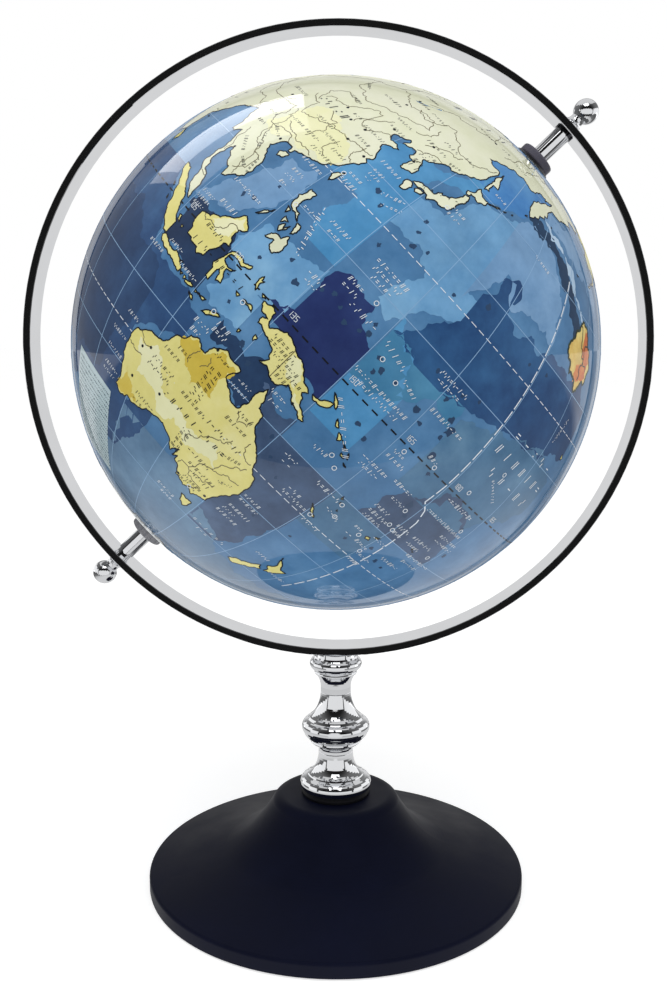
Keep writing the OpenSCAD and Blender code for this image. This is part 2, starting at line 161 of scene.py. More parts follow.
ISLANDS_NORTH = [
    # Japan: Kyushu, Shikoku, Honshu, Hokkaido
    [(130.9, 33.9), (129.7, 33.2), (130.0, 32.4), (130.3, 31.2), (131.3, 31.4), (131.9, 33.0)],
    [(132.5, 33.4), (133.6, 34.1), (134.6, 34.2), (134.3, 33.5), (133.0, 32.8)],
    [(130.9, 34.2), (132.6, 35.4), (134.2, 35.6), (135.9, 35.6), (136.8, 37.3), (137.2, 36.8),
     (138.6, 37.5), (139.5, 38.6), (140.0, 39.8), (140.3, 41.1), (141.4, 41.4), (141.9, 39.6),
     (141.0, 38.2), (140.9, 36.0), (140.3, 35.2), (139.8, 35.3), (138.8, 34.7), (138.2, 34.6),
     (137.0, 34.7), (135.8, 33.5), (135.1, 34.3), (133.9, 34.5), (132.3, 34.0)],
    [(140.1, 41.5), (139.9, 42.5), (141.3, 43.3), (141.7, 45.4), (143.0, 44.4), (145.3, 44.2),
     (145.4, 43.2), (143.3, 42.0), (142.2, 42.5), (140.9, 42.4), (141.1, 41.8)],
    # Sakhalin and the Kuril Islands
    [(142.0, 46.0), (142.1, 49.0), (141.7, 51.6), (142.6, 54.2), (143.2, 52.3), (144.6, 49.0),
     (142.9, 49.0), (142.8, 47.2), (143.4, 46.6), (142.5, 46.6)],
    [(145.5, 43.9), (146.9, 44.5), (148.8, 45.5), (147.2, 44.7), (146.0, 44.0)],
    [(149.6, 45.7), (150.5, 46.3), (150.4, 46.0)],
    [(151.9, 46.9), (152.3, 47.3), (152.4, 47.0)],
    [(155.2, 50.1), (155.9, 50.8), (156.2, 50.5)],
    # Taiwan, Hainan
    [(121.6, 25.2), (120.6, 24.4), (120.1, 23.2), (120.8, 21.9), (121.4, 23.2)],
    [(108.7, 19.3), (109.6, 20.0), (110.9, 20.0), (110.4, 18.7), (109.2, 18.3)],
    # Philippines
    [(120.6, 18.5), (122.2, 18.4), (122.1, 17.0), (121.5, 15.8), (121.8, 14.2), (123.2, 13.9),
     (124.1, 12.6), (122.5, 13.5), (121.0, 13.7), (120.3, 14.7), (119.9, 16.2), (120.4, 16.6)],
    [(120.4, 13.5), (121.5, 13.1), (121.1, 12.2)],
    [(119.5, 11.3), (119.0, 10.4), (117.3, 8.4), (118.2, 9.9)],
    [(121.9, 11.9), (123.1, 11.5), (122.0, 10.5)],
    [(123.0, 10.9), (123.5, 9.9), (123.0, 9.1), (122.4, 9.8)],
    [(124.0, 11.2), (123.9, 10.2), (123.4, 9.6), (123.7, 10.6)],
    [(124.3, 12.5), (125.3, 12.5), (125.7, 11.2), (125.0, 10.2), (124.7, 11.3)],
    [(123.4, 8.6), (124.7, 8.5), (125.5, 9.8), (126.3, 8.7), (126.5, 7.3), (125.6, 5.7),
     (124.1, 6.3), (124.0, 7.5), (122.1, 6.9), (122.6, 8.0)],
    # Arctic and Bering islands
    [(178.7, 71.0), (181.5, 71.6), (182.3, 71.1), (180.0, 70.8)],
    [(139.0, 74.8), (142.0, 76.1), (150.5, 75.1), (144.0, 74.9)],
    [(95.0, 79.2), (99.0, 80.2), (105.0, 79.0), (100.0, 78.0)],
    [(51.5, 71.6), (55.5, 75.2), (68.0, 76.9), (58.0, 73.6), (57.5, 70.7)],
    [(11.0, 79.2), (20.0, 80.4), (27.0, 80.0), (17.0, 76.7)],
    [(165.9, 55.3), (166.3, 55.1), (166.1, 54.8)],
    [(193.2, 53.3), (195.6, 54.0), (194.3, 53.3)],
    [(183.1, 51.9), (184.5, 52.1), (183.9, 51.7)],
]
ISLANDS_SOUTH = [
    # Borneo, Sumatra, Java and the small islands near them
    [(109.0, 1.6), (109.7, 2.0), (111.2, 2.1), (111.4, 2.8), (113.0, 3.3), (114.4, 4.6),
     (115.5, 5.3), (116.8, 6.9), (117.7, 6.3), (119.2, 5.2), (117.9, 4.2), (118.0, 2.3),
     (118.9, 1.0), (117.6, 0.7), (117.4, -0.6), (116.5, -1.8), (116.3, -3.4), (114.7, -4.1),
     (114.0, -3.3), (112.0, -3.3), (111.6, -2.9), (110.2, -2.9), (110.0, -1.4), (109.1, -0.4),
     (109.0, 0.7)],
    [(95.3, 5.6), (97.5, 5.2), (98.7, 4.0), (100.4, 2.6), (101.3, 2.0), (103.0, 0.5),
     (103.8, -1.0), (104.6, -2.0), (106.0, -3.2), (105.8, -5.8), (104.6, -5.8), (102.3, -4.0),
     (101.0, -2.6), (100.3, -0.9), (99.1, 0.4), (98.7, 1.7), (97.0, 3.2), (95.7, 4.2)],
    [(105.3, -1.7), (106.1, -1.6), (106.7, -2.9), (105.9, -2.6)],
    [(107.6, -2.7), (108.3, -2.7), (108.0, -3.2)],
    [(97.1, 1.5), (97.9, 0.8), (97.5, 0.9)],
    [(98.7, -1.0), (99.3, -1.8), (98.9, -1.6)],
    [(105.4, -6.5), (106.2, -5.9), (107.4, -6.2), (108.6, -6.7), (110.4, -6.9), (111.0, -6.4),
     (112.6, -6.9), (113.9, -7.6), (114.5, -7.9), (114.4, -8.7), (112.5, -8.4), (110.0, -8.1),
     (108.0, -7.8), (106.4, -7.4)],
    [(112.8, -7.0), (114.0, -6.9), (113.6, -7.2)],
    [(114.6, -8.2), (115.6, -8.3), (115.2, -8.8)],
    [(116.0, -8.3), (116.7, -8.4), (116.3, -8.9)],
    [(116.9, -8.6), (118.2, -8.2), (119.1, -8.5), (118.0, -9.0), (116.9, -9.0)],
    [(119.9, -8.4), (121.5, -8.5), (122.9, -8.2), (122.4, -8.8), (120.0, -8.9)],
    [(119.0, -9.5), (120.2, -9.6), (120.8, -10.2), (119.9, -10.1)],
    [(123.5, -10.3), (124.5, -9.2), (126.0, -8.5), (127.2, -8.4), (126.2, -9.1), (124.7, -10.1)],
    # Sulawesi and the Moluccas
    [(120.8, 1.3), (123.2, 1.0), (125.0, 1.7), (125.1, 1.3), (123.6, 0.3), (120.4, 0.4),
     (120.1, -0.9), (121.0, -1.4), (123.3, -0.9), (121.7, -1.9), (122.4, -3.3), (122.8, -4.4),
     (121.6, -4.7), (121.4, -3.5), (120.8, -2.7), (120.4, -3.3), (120.4, -5.6), (119.5, -5.4),
     (119.5, -3.5), (118.8, -2.8), (119.4, -1.2), (119.8, 0.2)],
    [(127.5, 1.2), (127.9, 2.1), (128.0, 1.3), (128.7, 1.5), (128.2, 0.5), (128.4, -0.7),
     (127.8, 0.0)],
    [(126.0, -3.2), (127.1, -3.2), (126.7, -3.8)],
    [(128.1, -3.2), (130.0, -2.9), (130.8, -3.8), (129.5, -3.4), (128.2, -3.5)],
    [(134.1, -5.8), (134.8, -6.0), (134.5, -6.9), (134.1, -6.4)],
    [(131.2, -7.3), (131.7, -7.2), (131.3, -8.0)],
    [(129.8, -0.1), (131.0, -0.4), (130.3, -0.6)],
    # New Guinea and the Bismarck and Solomon islands
    [(131.0, -0.8), (132.5, -0.4), (134.0, -0.8), (134.2, -2.2), (135.0, -3.3), (136.5, -2.2),
     (137.9, -1.5), (141.0, -2.6), (144.5, -3.9), (145.8, -5.3), (147.8, -6.1), (146.9, -6.8),
     (148.2, -8.6), (149.3, -9.1), (150.8, -10.3), (149.8, -10.6), (147.3, -9.5), (146.0, -8.4),
     (144.5, -7.6), (143.6, -8.4), (142.6, -9.3), (141.0, -9.1), (139.2, -8.1), (137.7, -8.4),
     (138.9, -7.0), (138.0, -5.4), (136.0, -4.6), (133.7, -3.9), (132.9, -4.1), (132.8, -2.8),
     (133.8, -2.4), (132.0, -2.3), (131.1, -1.4)],
    [(148.4, -5.7), (150.0, -5.5), (151.5, -4.3), (152.2, -4.2), (152.0, -5.3), (150.7, -6.2),
     (149.0, -6.3)],
    [(150.8, -2.6), (152.3, -3.3), (153.1, -4.6), (152.4, -4.2)],
    [(154.6, -5.4), (155.9, -6.5), (155.3, -6.7)],
    [(156.5, -7.0), (157.9, -7.6), (157.3, -8.3)],
    [(158.0, -7.5), (159.8, -8.5), (159.2, -8.3)],
    [(159.6, -9.3), (160.8, -9.8), (159.9, -9.8)],
    [(160.6, -8.4), (161.4, -9.5), (160.9, -9.2)],
    [(161.3, -10.3), (162.4, -10.7), (161.8, -10.7)],
    # Australia and Tasmania
    [(142.5, -10.7), (143.4, -12.6), (143.7, -14.4), (145.2, -14.9), (146.0, -17.8),
     (147.5, -19.4), (148.8, -20.3), (150.7, -22.4), (151.2, -23.8), (153.0, -25.0),
     (153.5, -28.3), (152.6, -32.0), (151.2, -33.7), (150.2, -35.8), (149.9, -37.4),
     (147.6, -38.0), (146.3, -39.1), (144.9, -38.0), (143.5, -38.8), (140.5, -38.0),
     (139.4, -35.9), (138.2, -35.5), (138.3, -34.3), (137.0, -35.2), (137.8, -32.9),
     (136.0, -34.7), (134.2, -32.7), (131.2, -31.5), (128.5, -32.0), (126.0, -32.3),
     (123.8, -33.8), (120.0, -33.9), (117.9, -35.1), (115.1, -34.3), (115.7, -32.0),
     (114.6, -29.0), (113.4, -26.2), (113.6, -23.2), (114.2, -21.9), (116.8, -20.6),
     (119.0, -20.0), (121.4, -19.3), (122.2, -18.0), (122.9, -16.6), (124.0, -16.3),
     (125.2, -14.6), (127.0, -13.9), (128.3, -14.9), (129.6, -14.9), (130.2, -12.9),
     (131.2, -12.2), (132.6, -11.4), (134.2, -12.0), (136.7, -12.2), (135.9, -13.6),
     (135.5, -15.0), (137.7, -16.2), (139.4, -17.5), (140.9, -17.4), (141.7, -15.0),
     (141.6, -12.6)],
    [(144.7, -40.8), (146.5, -41.1), (148.3, -40.9), (148.0, -42.6), (146.9, -43.6),
     (145.5, -42.6)],
    # New Zealand
    [(172.8, -34.5), (174.3, -35.8), (175.5, -36.7), (176.8, -37.9), (178.4, -37.7),
     (177.6, -39.3), (176.4, -41.0), (175.1, -41.5), (175.0, -40.1), (173.8, -39.3),
     (174.7, -38.0), (174.3, -36.9)],
    [(172.8, -40.6), (174.2, -41.7), (172.8, -43.6), (171.0, -45.2), (169.5, -46.6),
     (167.0, -46.0), (168.2, -44.2), (170.8, -42.8)],
    # New Caledonia, Vanuatu, Fiji, Samoa
    [(164.0, -20.1), (165.3, -20.8), (166.9, -22.2), (166.4, -22.3), (165.0, -21.5)],
    [(166.7, -14.8), (167.2, -15.4), (166.8, -15.6)],
    [(167.3, -16.0), (167.8, -16.5), (167.4, -16.5)],
    [(168.2, -17.6), (168.6, -17.9), (168.3, -18.0)],
    [(177.3, -17.7), (178.2, -17.4), (178.6, -18.1), (177.6, -18.2)],
    [(178.8, -16.6), (180.0, -16.2), (179.2, -16.9)],
    [(187.3, -13.5), (187.9, -13.6), (187.6, -13.9)],
    [(188.0, -13.9), (188.6, -14.0), (188.2, -14.1)],
    # Indian Ocean
    [(79.8, 9.6), (81.3, 8.4), (81.8, 7.2), (80.6, 6.0), (79.8, 7.4)],
    [(49.3, -12.0), (50.4, -15.7), (47.0, -25.0), (44.0, -25.0), (43.6, -22.0), (44.4, -16.4)],
]
AMERICAS = [
    # North America
    (-168.0, 65.6), (-163.0, 66.6), (-166.5, 68.4), (-156.6, 71.3), (-148.0, 70.5),
    (-141.0, 69.7), (-135.0, 69.4), (-128.0, 70.3), (-120.0, 69.6), (-115.0, 68.3),
    (-108.0, 68.0), (-101.0, 67.8), (-95.0, 71.8), (-93.0, 69.3), (-86.0, 67.6),
    (-82.0, 69.5), (-81.6, 67.6), (-86.5, 66.2), (-87.5, 64.3), (-93.0, 62.0),
    (-94.5, 59.0), (-92.5, 57.0), (-88.0, 56.5), (-82.3, 55.2), (-82.0, 53.0),
    (-79.6, 51.3), (-79.0, 54.5), (-76.8, 57.3), (-78.0, 60.0), (-77.5, 62.4),
    (-73.5, 62.2), (-69.6, 60.8), (-68.0, 58.5), (-64.6, 60.2), (-61.8, 57.0),
    (-57.5, 54.5), (-55.8, 52.5), (-60.0, 50.2), (-66.0, 50.1), (-71.0, 46.9),
    (-65.0, 49.1), (-64.6, 46.4), (-60.2, 46.0), (-65.8, 43.6), (-67.0, 44.8),
    (-70.0, 43.7), (-70.2, 41.8), (-74.0, 40.6), (-75.6, 38.0), (-75.8, 35.2),
    (-81.0, 31.8), (-80.1, 26.8), (-81.0, 25.2), (-82.7, 27.8), (-84.0, 30.0),
    (-89.5, 30.2), (-94.7, 29.4), (-97.4, 27.0), (-97.8, 22.5), (-96.0, 19.2),
    (-94.3, 18.2), (-91.0, 18.7), (-90.3, 21.0), (-87.0, 21.4), (-88.3, 17.5),
    (-88.7, 15.9), (-83.3, 15.0), (-83.7, 11.0), (-81.8, 9.0), (-79.6, 9.5),
    (-77.3, 8.7),
    # South America
    (-75.6, 10.6), (-71.9, 12.4), (-71.4, 10.9), (-68.0, 11.3), (-62.0, 10.7),
    (-59.8, 8.3), (-52.0, 5.0), (-50.0, 1.0), (-48.0, -1.0), (-44.0, -2.6),
    (-38.5, -3.7), (-35.2, -5.6), (-35.0, -9.0), (-38.8, -13.0), (-39.1, -17.5),
    (-41.0, -22.0), (-46.5, -24.2), (-48.7, -28.3), (-53.5, -33.8), (-58.3, -34.2),
    (-57.0, -36.5), (-62.0, -39.0), (-65.0, -41.0), (-63.8, -42.7), (-67.5, -46.2),
    (-65.8, -47.8), (-69.0, -51.0), (-68.3, -52.5), (-65.3, -54.7), (-70.0, -55.2),
    (-74.5, -52.0), (-75.5, -47.0), (-73.4, -42.0), (-73.5, -37.2), (-71.5, -32.0),
    (-70.5, -25.0), (-70.2, -18.5), (-76.2, -14.0), (-79.5, -7.5), (-81.2, -4.8),
    (-80.2, -2.5), (-80.0, 0.8), (-77.5, 3.8), (-78.0, 8.0),
    # Pacific coast of North America
    (-80.2, 7.4), (-83.0, 8.3), (-85.8, 10.6), (-87.5, 13.0), (-92.3, 14.6),
    (-95.0, 16.1), (-99.8, 16.8), (-105.5, 20.0), (-106.3, 23.3), (-109.4, 26.6),
    (-113.0, 31.2), (-114.7, 31.6), (-111.3, 26.2), (-109.6, 23.0), (-112.3, 26.0),
    (-114.9, 28.0), (-117.1, 32.4), (-120.6, 34.6), (-122.4, 37.2), (-124.2, 40.3),
    (-124.0, 46.0), (-122.8, 48.6), (-127.8, 51.5), (-130.5, 54.8), (-134.0, 58.2),
    (-140.0, 59.8), (-146.0, 60.8), (-151.8, 59.3), (-152.0, 61.0), (-158.0, 56.6),
    (-164.5, 54.6), (-160.0, 56.2), (-157.5, 58.6), (-162.0, 58.7), (-165.5, 61.5),
    (-161.2, 64.0), (-166.3, 64.5),
]
ISLANDS_WEST = [
    [(-73.0, 78.3), (-60.0, 82.0), (-32.0, 83.4), (-18.0, 80.5), (-20.0, 74.0), (-24.5, 70.5),
     (-33.0, 67.8), (-40.0, 65.0), (-43.8, 60.0), (-50.0, 62.5), (-53.6, 67.0), (-54.6, 70.5),
     (-58.0, 75.0), (-68.0, 76.0)],
    [(-62.0, 66.0), (-68.0, 70.0), (-80.0, 73.5), (-89.0, 73.0), (-84.0, 70.0), (-74.0, 68.0),
     (-73.0, 64.6), (-65.5, 62.3)],
    [(-105.0, 69.0), (-105.0, 73.0), (-117.0, 73.0), (-116.0, 69.0)],
    [(-62.0, 82.5), (-90.0, 81.5), (-88.0, 77.0), (-78.0, 76.5)],
    [(-22.6, 64.0), (-24.0, 65.6), (-20.0, 66.1), (-14.8, 66.0), (-14.0, 64.6), (-18.8, 63.4)],
    [(-10.2, 52.0), (-6.3, 52.3), (-5.7, 54.6), (-8.0, 55.2), (-9.8, 54.2)],
    [(-5.4, 50.1), (-5.0, 51.8), (-3.0, 53.4), (-5.0, 54.8), (-6.0, 56.8), (-5.0, 58.5),
     (-2.0, 57.6), (-2.8, 56.0), (0.0, 53.3), (1.6, 52.6), (1.0, 51.0), (-2.0, 50.7)],
    [(-84.8, 21.9), (-82.0, 23.1), (-77.0, 21.3), (-74.3, 20.2), (-77.5, 19.9), (-79.0, 21.4)],
    [(-74.2, 18.4), (-73.0, 19.8), (-68.6, 18.6), (-71.5, 17.8)],
    [(-59.0, 47.7), (-55.8, 51.3), (-53.0, 47.4)],
    [(-156.0, 20.2), (-154.9, 19.5), (-155.9, 19.0)],
]
ANTARCTICA = [
    (-180.0, -78.3), (-165.0, -78.3), (-155.0, -77.2), (-146.0, -75.5), (-125.0, -74.0),
    (-103.0, -73.5), (-80.0, -73.2), (-67.0, -68.5), (-57.5, -63.4), (-61.5, -67.0),
    (-62.0, -74.0), (-75.0, -77.5), (-60.0, -80.0), (-36.0, -78.0), (-26.0, -74.5),
    (-10.0, -71.0), (20.0, -70.0), (40.0, -69.0), (55.0, -66.0), (70.0, -69.0),
    (80.0, -67.5), (100.0, -66.0), (115.0, -66.5), (135.0, -66.0), (145.0, -67.0),
    (160.0, -70.0), (170.0, -72.0), (165.0, -77.5), (180.0, -78.3), (180.0, -86.0),
    (-180.0, -86.0),
]

# Names of the sea's printed tones, and their patches. Edges that run along a
# meridian or a parallel stay straight; all others are drawn a little uneven.
SEA_TONES = {
    "sea_bright": [
        [(134, 56), (140.5, 46.5), (146, 44.5), (156, 50.5), (166, 60), (166, 63), (140, 61)],
    ],
    "sea_mid": [
        [(126, 37), (128.5, 34), (131, 34.5), (140, 41), (142.5, 46), (142, 54), (138, 53)],
        [(117, 24), (122, 41), (127, 37), (130, 33), (135, 33), (135, 24)],
        [(150, -8), (160, -8), (160, 5), (150, 15)],
        [(127, 24), (135, 24), (135, 12), (128, 12)],
    ],
    "sea_light": [
        [(135, 25), (135, 33), (141, 34), (143, 41), (150, 45), (155, 47), (155, 25), (148, 22)],
        [(121, 9), (135, 11), (135, 0.3), (129, -1.5), (124, -3), (119, 1.5)],
        [(123, -1), (131, -1), (131, -7.5), (127, -8), (121, -6.5)],
        [(148, 12), (150, 15), (158, 22), (158, 27), (150, 25), (145, 18), (144, 14)],
    ],
    "sea_pale": [
        [(155, 25), (155, 47), (162, 50), (172, 47), (178, 42), (180, 33), (165, 31), (160, 36)],
        [(104, 3), (109, 10.5), (112, 20), (118, 22), (120, 15), (117, 9), (112, 5)],
        [(157, 59), (168, 59), (184, 58), (200, 52), (200, 47), (184, 52), (172, 55), (160, 55)],
    ],
    "sea_violet": [
        [(150, -15), (165, -15), (165, -30), (160, -45), (150, -45)],
        [(141, -10.5), (150, -11), (150, -24), (146, -18), (143.5, -13)],
        [(172, -9), (179, -4), (184, 0), (190, -2), (193, -8), (194, -15), (180, -15), (171, -15)],
    ],
    "sea_teal": [
        [(165, -15), (180, -15), (180, -25), (165, -25)],
        [(180, 14), (171, 10), (171, -6), (187, -6), (195, 0), (205, 8), (205, 14), (190, 15.5)],
    ],
    "sea_navy": [
        [(158, 22), (158, 29), (160.5, 31), (160, 35), (163, 37), (166, 34), (165, 30), (169, 28),
         (173, 31), (177, 29), (181, 32), (190, 31), (198, 34), (205, 30), (205, 19), (198, 18.5),
         (190, 15.7), (180, 13.8), (175, 13), (170, 12), (164, 10.5), (157, 10.5), (150, 12)],
    ],
    "sea_azure": [
        [(150, 12), (157, 10.5), (164, 10.5), (170, 12), (171, 6), (165, 9), (160, 5), (155, 1),
         (150, 1.5)],
    ],
    "sea_deep": [
        [(135.8, 8), (136, 12), (138.5, 13.4), (142, 12.6), (145, 12.4), (145.6, 8.6),
         (149.7, 6.8), (149.7, -6.5), (140, -4), (131, 0), (135.8, 2)],
    ],
    "sea_ink": [
        [(104.5, 2), (112, 3), (120, 1), (120, -8.6), (105, -5.5)],
        [(128, -8.2), (142.6, -7.5), (142.8, -12.5), (140.5, -17.8), (135.5, -15.5), (132, -11),
         (128, -12)],
    ],
    "sea_south": [
        [(120, -36), (136, -36), (150, -40), (160, -45), (180, -48), (200, -46), (200, -66),
         (110, -64), (112, -50), (119, -47.5)],
        [(-70, -50), (60, -46), (60, -66), (-70, -60)],
    ],
    "sea_indian": [
        [(60, 5), (95, 5), (104, -6), (115, -9.5), (124, -11.5), (124, -17), (113, -22),
         (115, -33), (118, -36), (100, -44), (60, -40)],
        [(115, -33.5), (128, -31), (128, -35), (127.4, -38), (125.5, -41), (123, -43),
         (121.5, -46), (120, -47.5), (116, -47), (114, -40)],
    ],
    "sea_indigo": [
        [(80, -5), (100, -10), (112, -14), (112, -21), (108, -34), (92, -38), (75, -30)],
        [(-60, 40), (-20, 45), (-20, 10), (-35, 0), (-20, -30), (-40, -45), (-30, 20), (-70, 25)],
        [(228, 24), (236, 30), (250, 10), (240, -20), (226, -30), (222, 0)],
    ],
    "sea_arc": [
        [(156.5, 51), (161, 53.6), (166, 53.2), (175, 50.6), (183, 46), (190, 41.5), (197, 38),
         (195, 34), (189, 38), (181, 44), (173, 48), (165, 50.4), (160, 49.5)],
    ],
    "sea_frost": [
        [(159.5, 55), (165, 55), (172, 53.4), (178, 51.6), (183, 48), (190, 44), (190, 43.2),
         (182, 46.8), (177, 50.4), (171, 52.2), (164, 54.2)],
    ],
}
# Small dark smudges round reefs and atolls: centre and radius in degrees
REEFS = [
    (138.5, 8.8, 0.5), (141, 8, 0.4), (143.3, 6.8, 0.6), (136.5, 7.8, 0.4), (132.3, 5.2, 0.9),
    (129, 7.5, 0.5), (152, 7, 0.6), (153.7, 5.7, 0.7), (152.8, 4.6, 0.5), (157, 6, 0.5),
    (168, 13, 0.5), (166, 10.5, 0.5), (171, 7, 1.0), (169.6, 8.6, 0.7), (170.4, 5.2, 0.6),
    (172, 1.6, 0.8), (174.2, -1, 0.6), (177, -7.4, 0.8), (178.4, -9.6, 0.5), (160.4, -4.6, 0.5),
    (157.6, -3.6, 0.6), (161, 12.8, 0.5), (163.2, 5.4, 0.8), (165.4, 4.2, 0.5), (146, 7.6, 0.5),
    (147.6, 8.4, 0.6), (147.2, 10.4, 0.5), (140.2, 27.6, 0.5), (141.6, 25, 0.8), (139.6, 30.2, 0.5),
    (144.4, 26.2, 0.4), (131.4, 25.6, 0.6), (128.6, 27.4, 0.7), (137.2, 20.4, 0.5),
    (153.6, 24.4, 0.4), (149, -16.4, 0.5), (151.6, -19.4, 0.4), (155.4, -21.6, 0.4),
    (159.2, -31.4, 0.4), (168, -29, 0.4), (175, -21, 0.5), (181, -19, 0.5), (185, -20.6, 0.5),
    (188, -21, 0.4), (191.6, -4, 0.4), (196, -10.6, 0.5), (133.6, -8.8, 0.7), (130.6, -9.4, 0.6),
    (136.6, -10.2, 0.6), (126.4, -5.4, 0.4), (124.6, 3.6, 0.4), (112.4, 9, 0.5), (114.6, 10, 0.5),
    (116, 14.6, 0.4), (171.6, 14.6, 0.4), (176.4, 26.6, 0.4), (182.4, 28, 0.5), (160.6, 28, 0.8),
]
INLAND_WATER = [
    # Black Sea, Caspian, Aral, Baikal, Balkhash, Great Lakes, Victoria
    [(28.0, 42.0), (30.5, 45.8), (34.0, 44.6), (38.5, 46.8), (37.5, 44.8), (41.5, 41.8),
     (35.0, 42.0), (31.0, 41.2)],
    [(49.0, 45.5), (53.0, 46.8), (51.0, 44.0), (53.5, 41.0), (53.8, 37.0), (50.0, 37.4),
     (49.0, 41.0), (47.5, 43.5)],
    [(58.5, 45.5), (61.0, 46.5), (60.5, 44.0)],
    [(103.8, 51.5), (106.5, 52.7), (109.5, 55.6), (110.0, 55.3), (107.5, 52.6)],
    [(73.8, 46.0), (78.8, 46.8), (74.5, 45.2)],
    [(-92.0, 46.8), (-88.5, 48.6), (-84.5, 46.6)],
    [(-87.5, 42.0), (-87.0, 45.0), (-85.2, 45.5), (-86.2, 42.2)],
    [(-84.0, 45.8), (-80.0, 45.4), (-82.4, 43.2)],
    [(-83.2, 41.8), (-79.0, 42.8), (-76.4, 43.8), (-79.5, 43.4)],
    [(32.0, 0.4), (34.0, 0.2), (33.6, -2.4), (31.8, -2.2)],
]
# Warmer tints printed on the land
GOLD_PATCHES = [
    [(124.6, -16.8), (127, -14.2), (129.4, -15.3), (132, -12.2), (136, -12.8), (135, -16), (136, -20),
     (131, -21.5), (127.6, -19)],
    [(115.2, -33.2), (116.4, -29), (119, -31), (122.8, -33.4), (118.4, -34.4)],
    [(124, -16.6), (125.4, -15), (126.6, -14.4), (127.4, -16.6), (126, -18)],
]
CREAM_PATCHES = [
    [(98, 22), (100, 30), (108, 33), (116, 30), (119, 26.4), (112, 23), (106, 22.4)],
    [(112, 2), (114.6, 4.4), (117, 6.4), (118.6, 5), (117.4, 2), (115, 1)],
    [(141.4, -3.2), (145.4, -5.6), (147.2, -8.6), (149.6, -10), (145, -7.4), (141.6, -5.6)],
    [(116, -22.6), (121, -21), (126, -25), (134, -27), (142, -26), (146, -30), (137, -31),
     (128, -30.6), (119, -28.6)],
]
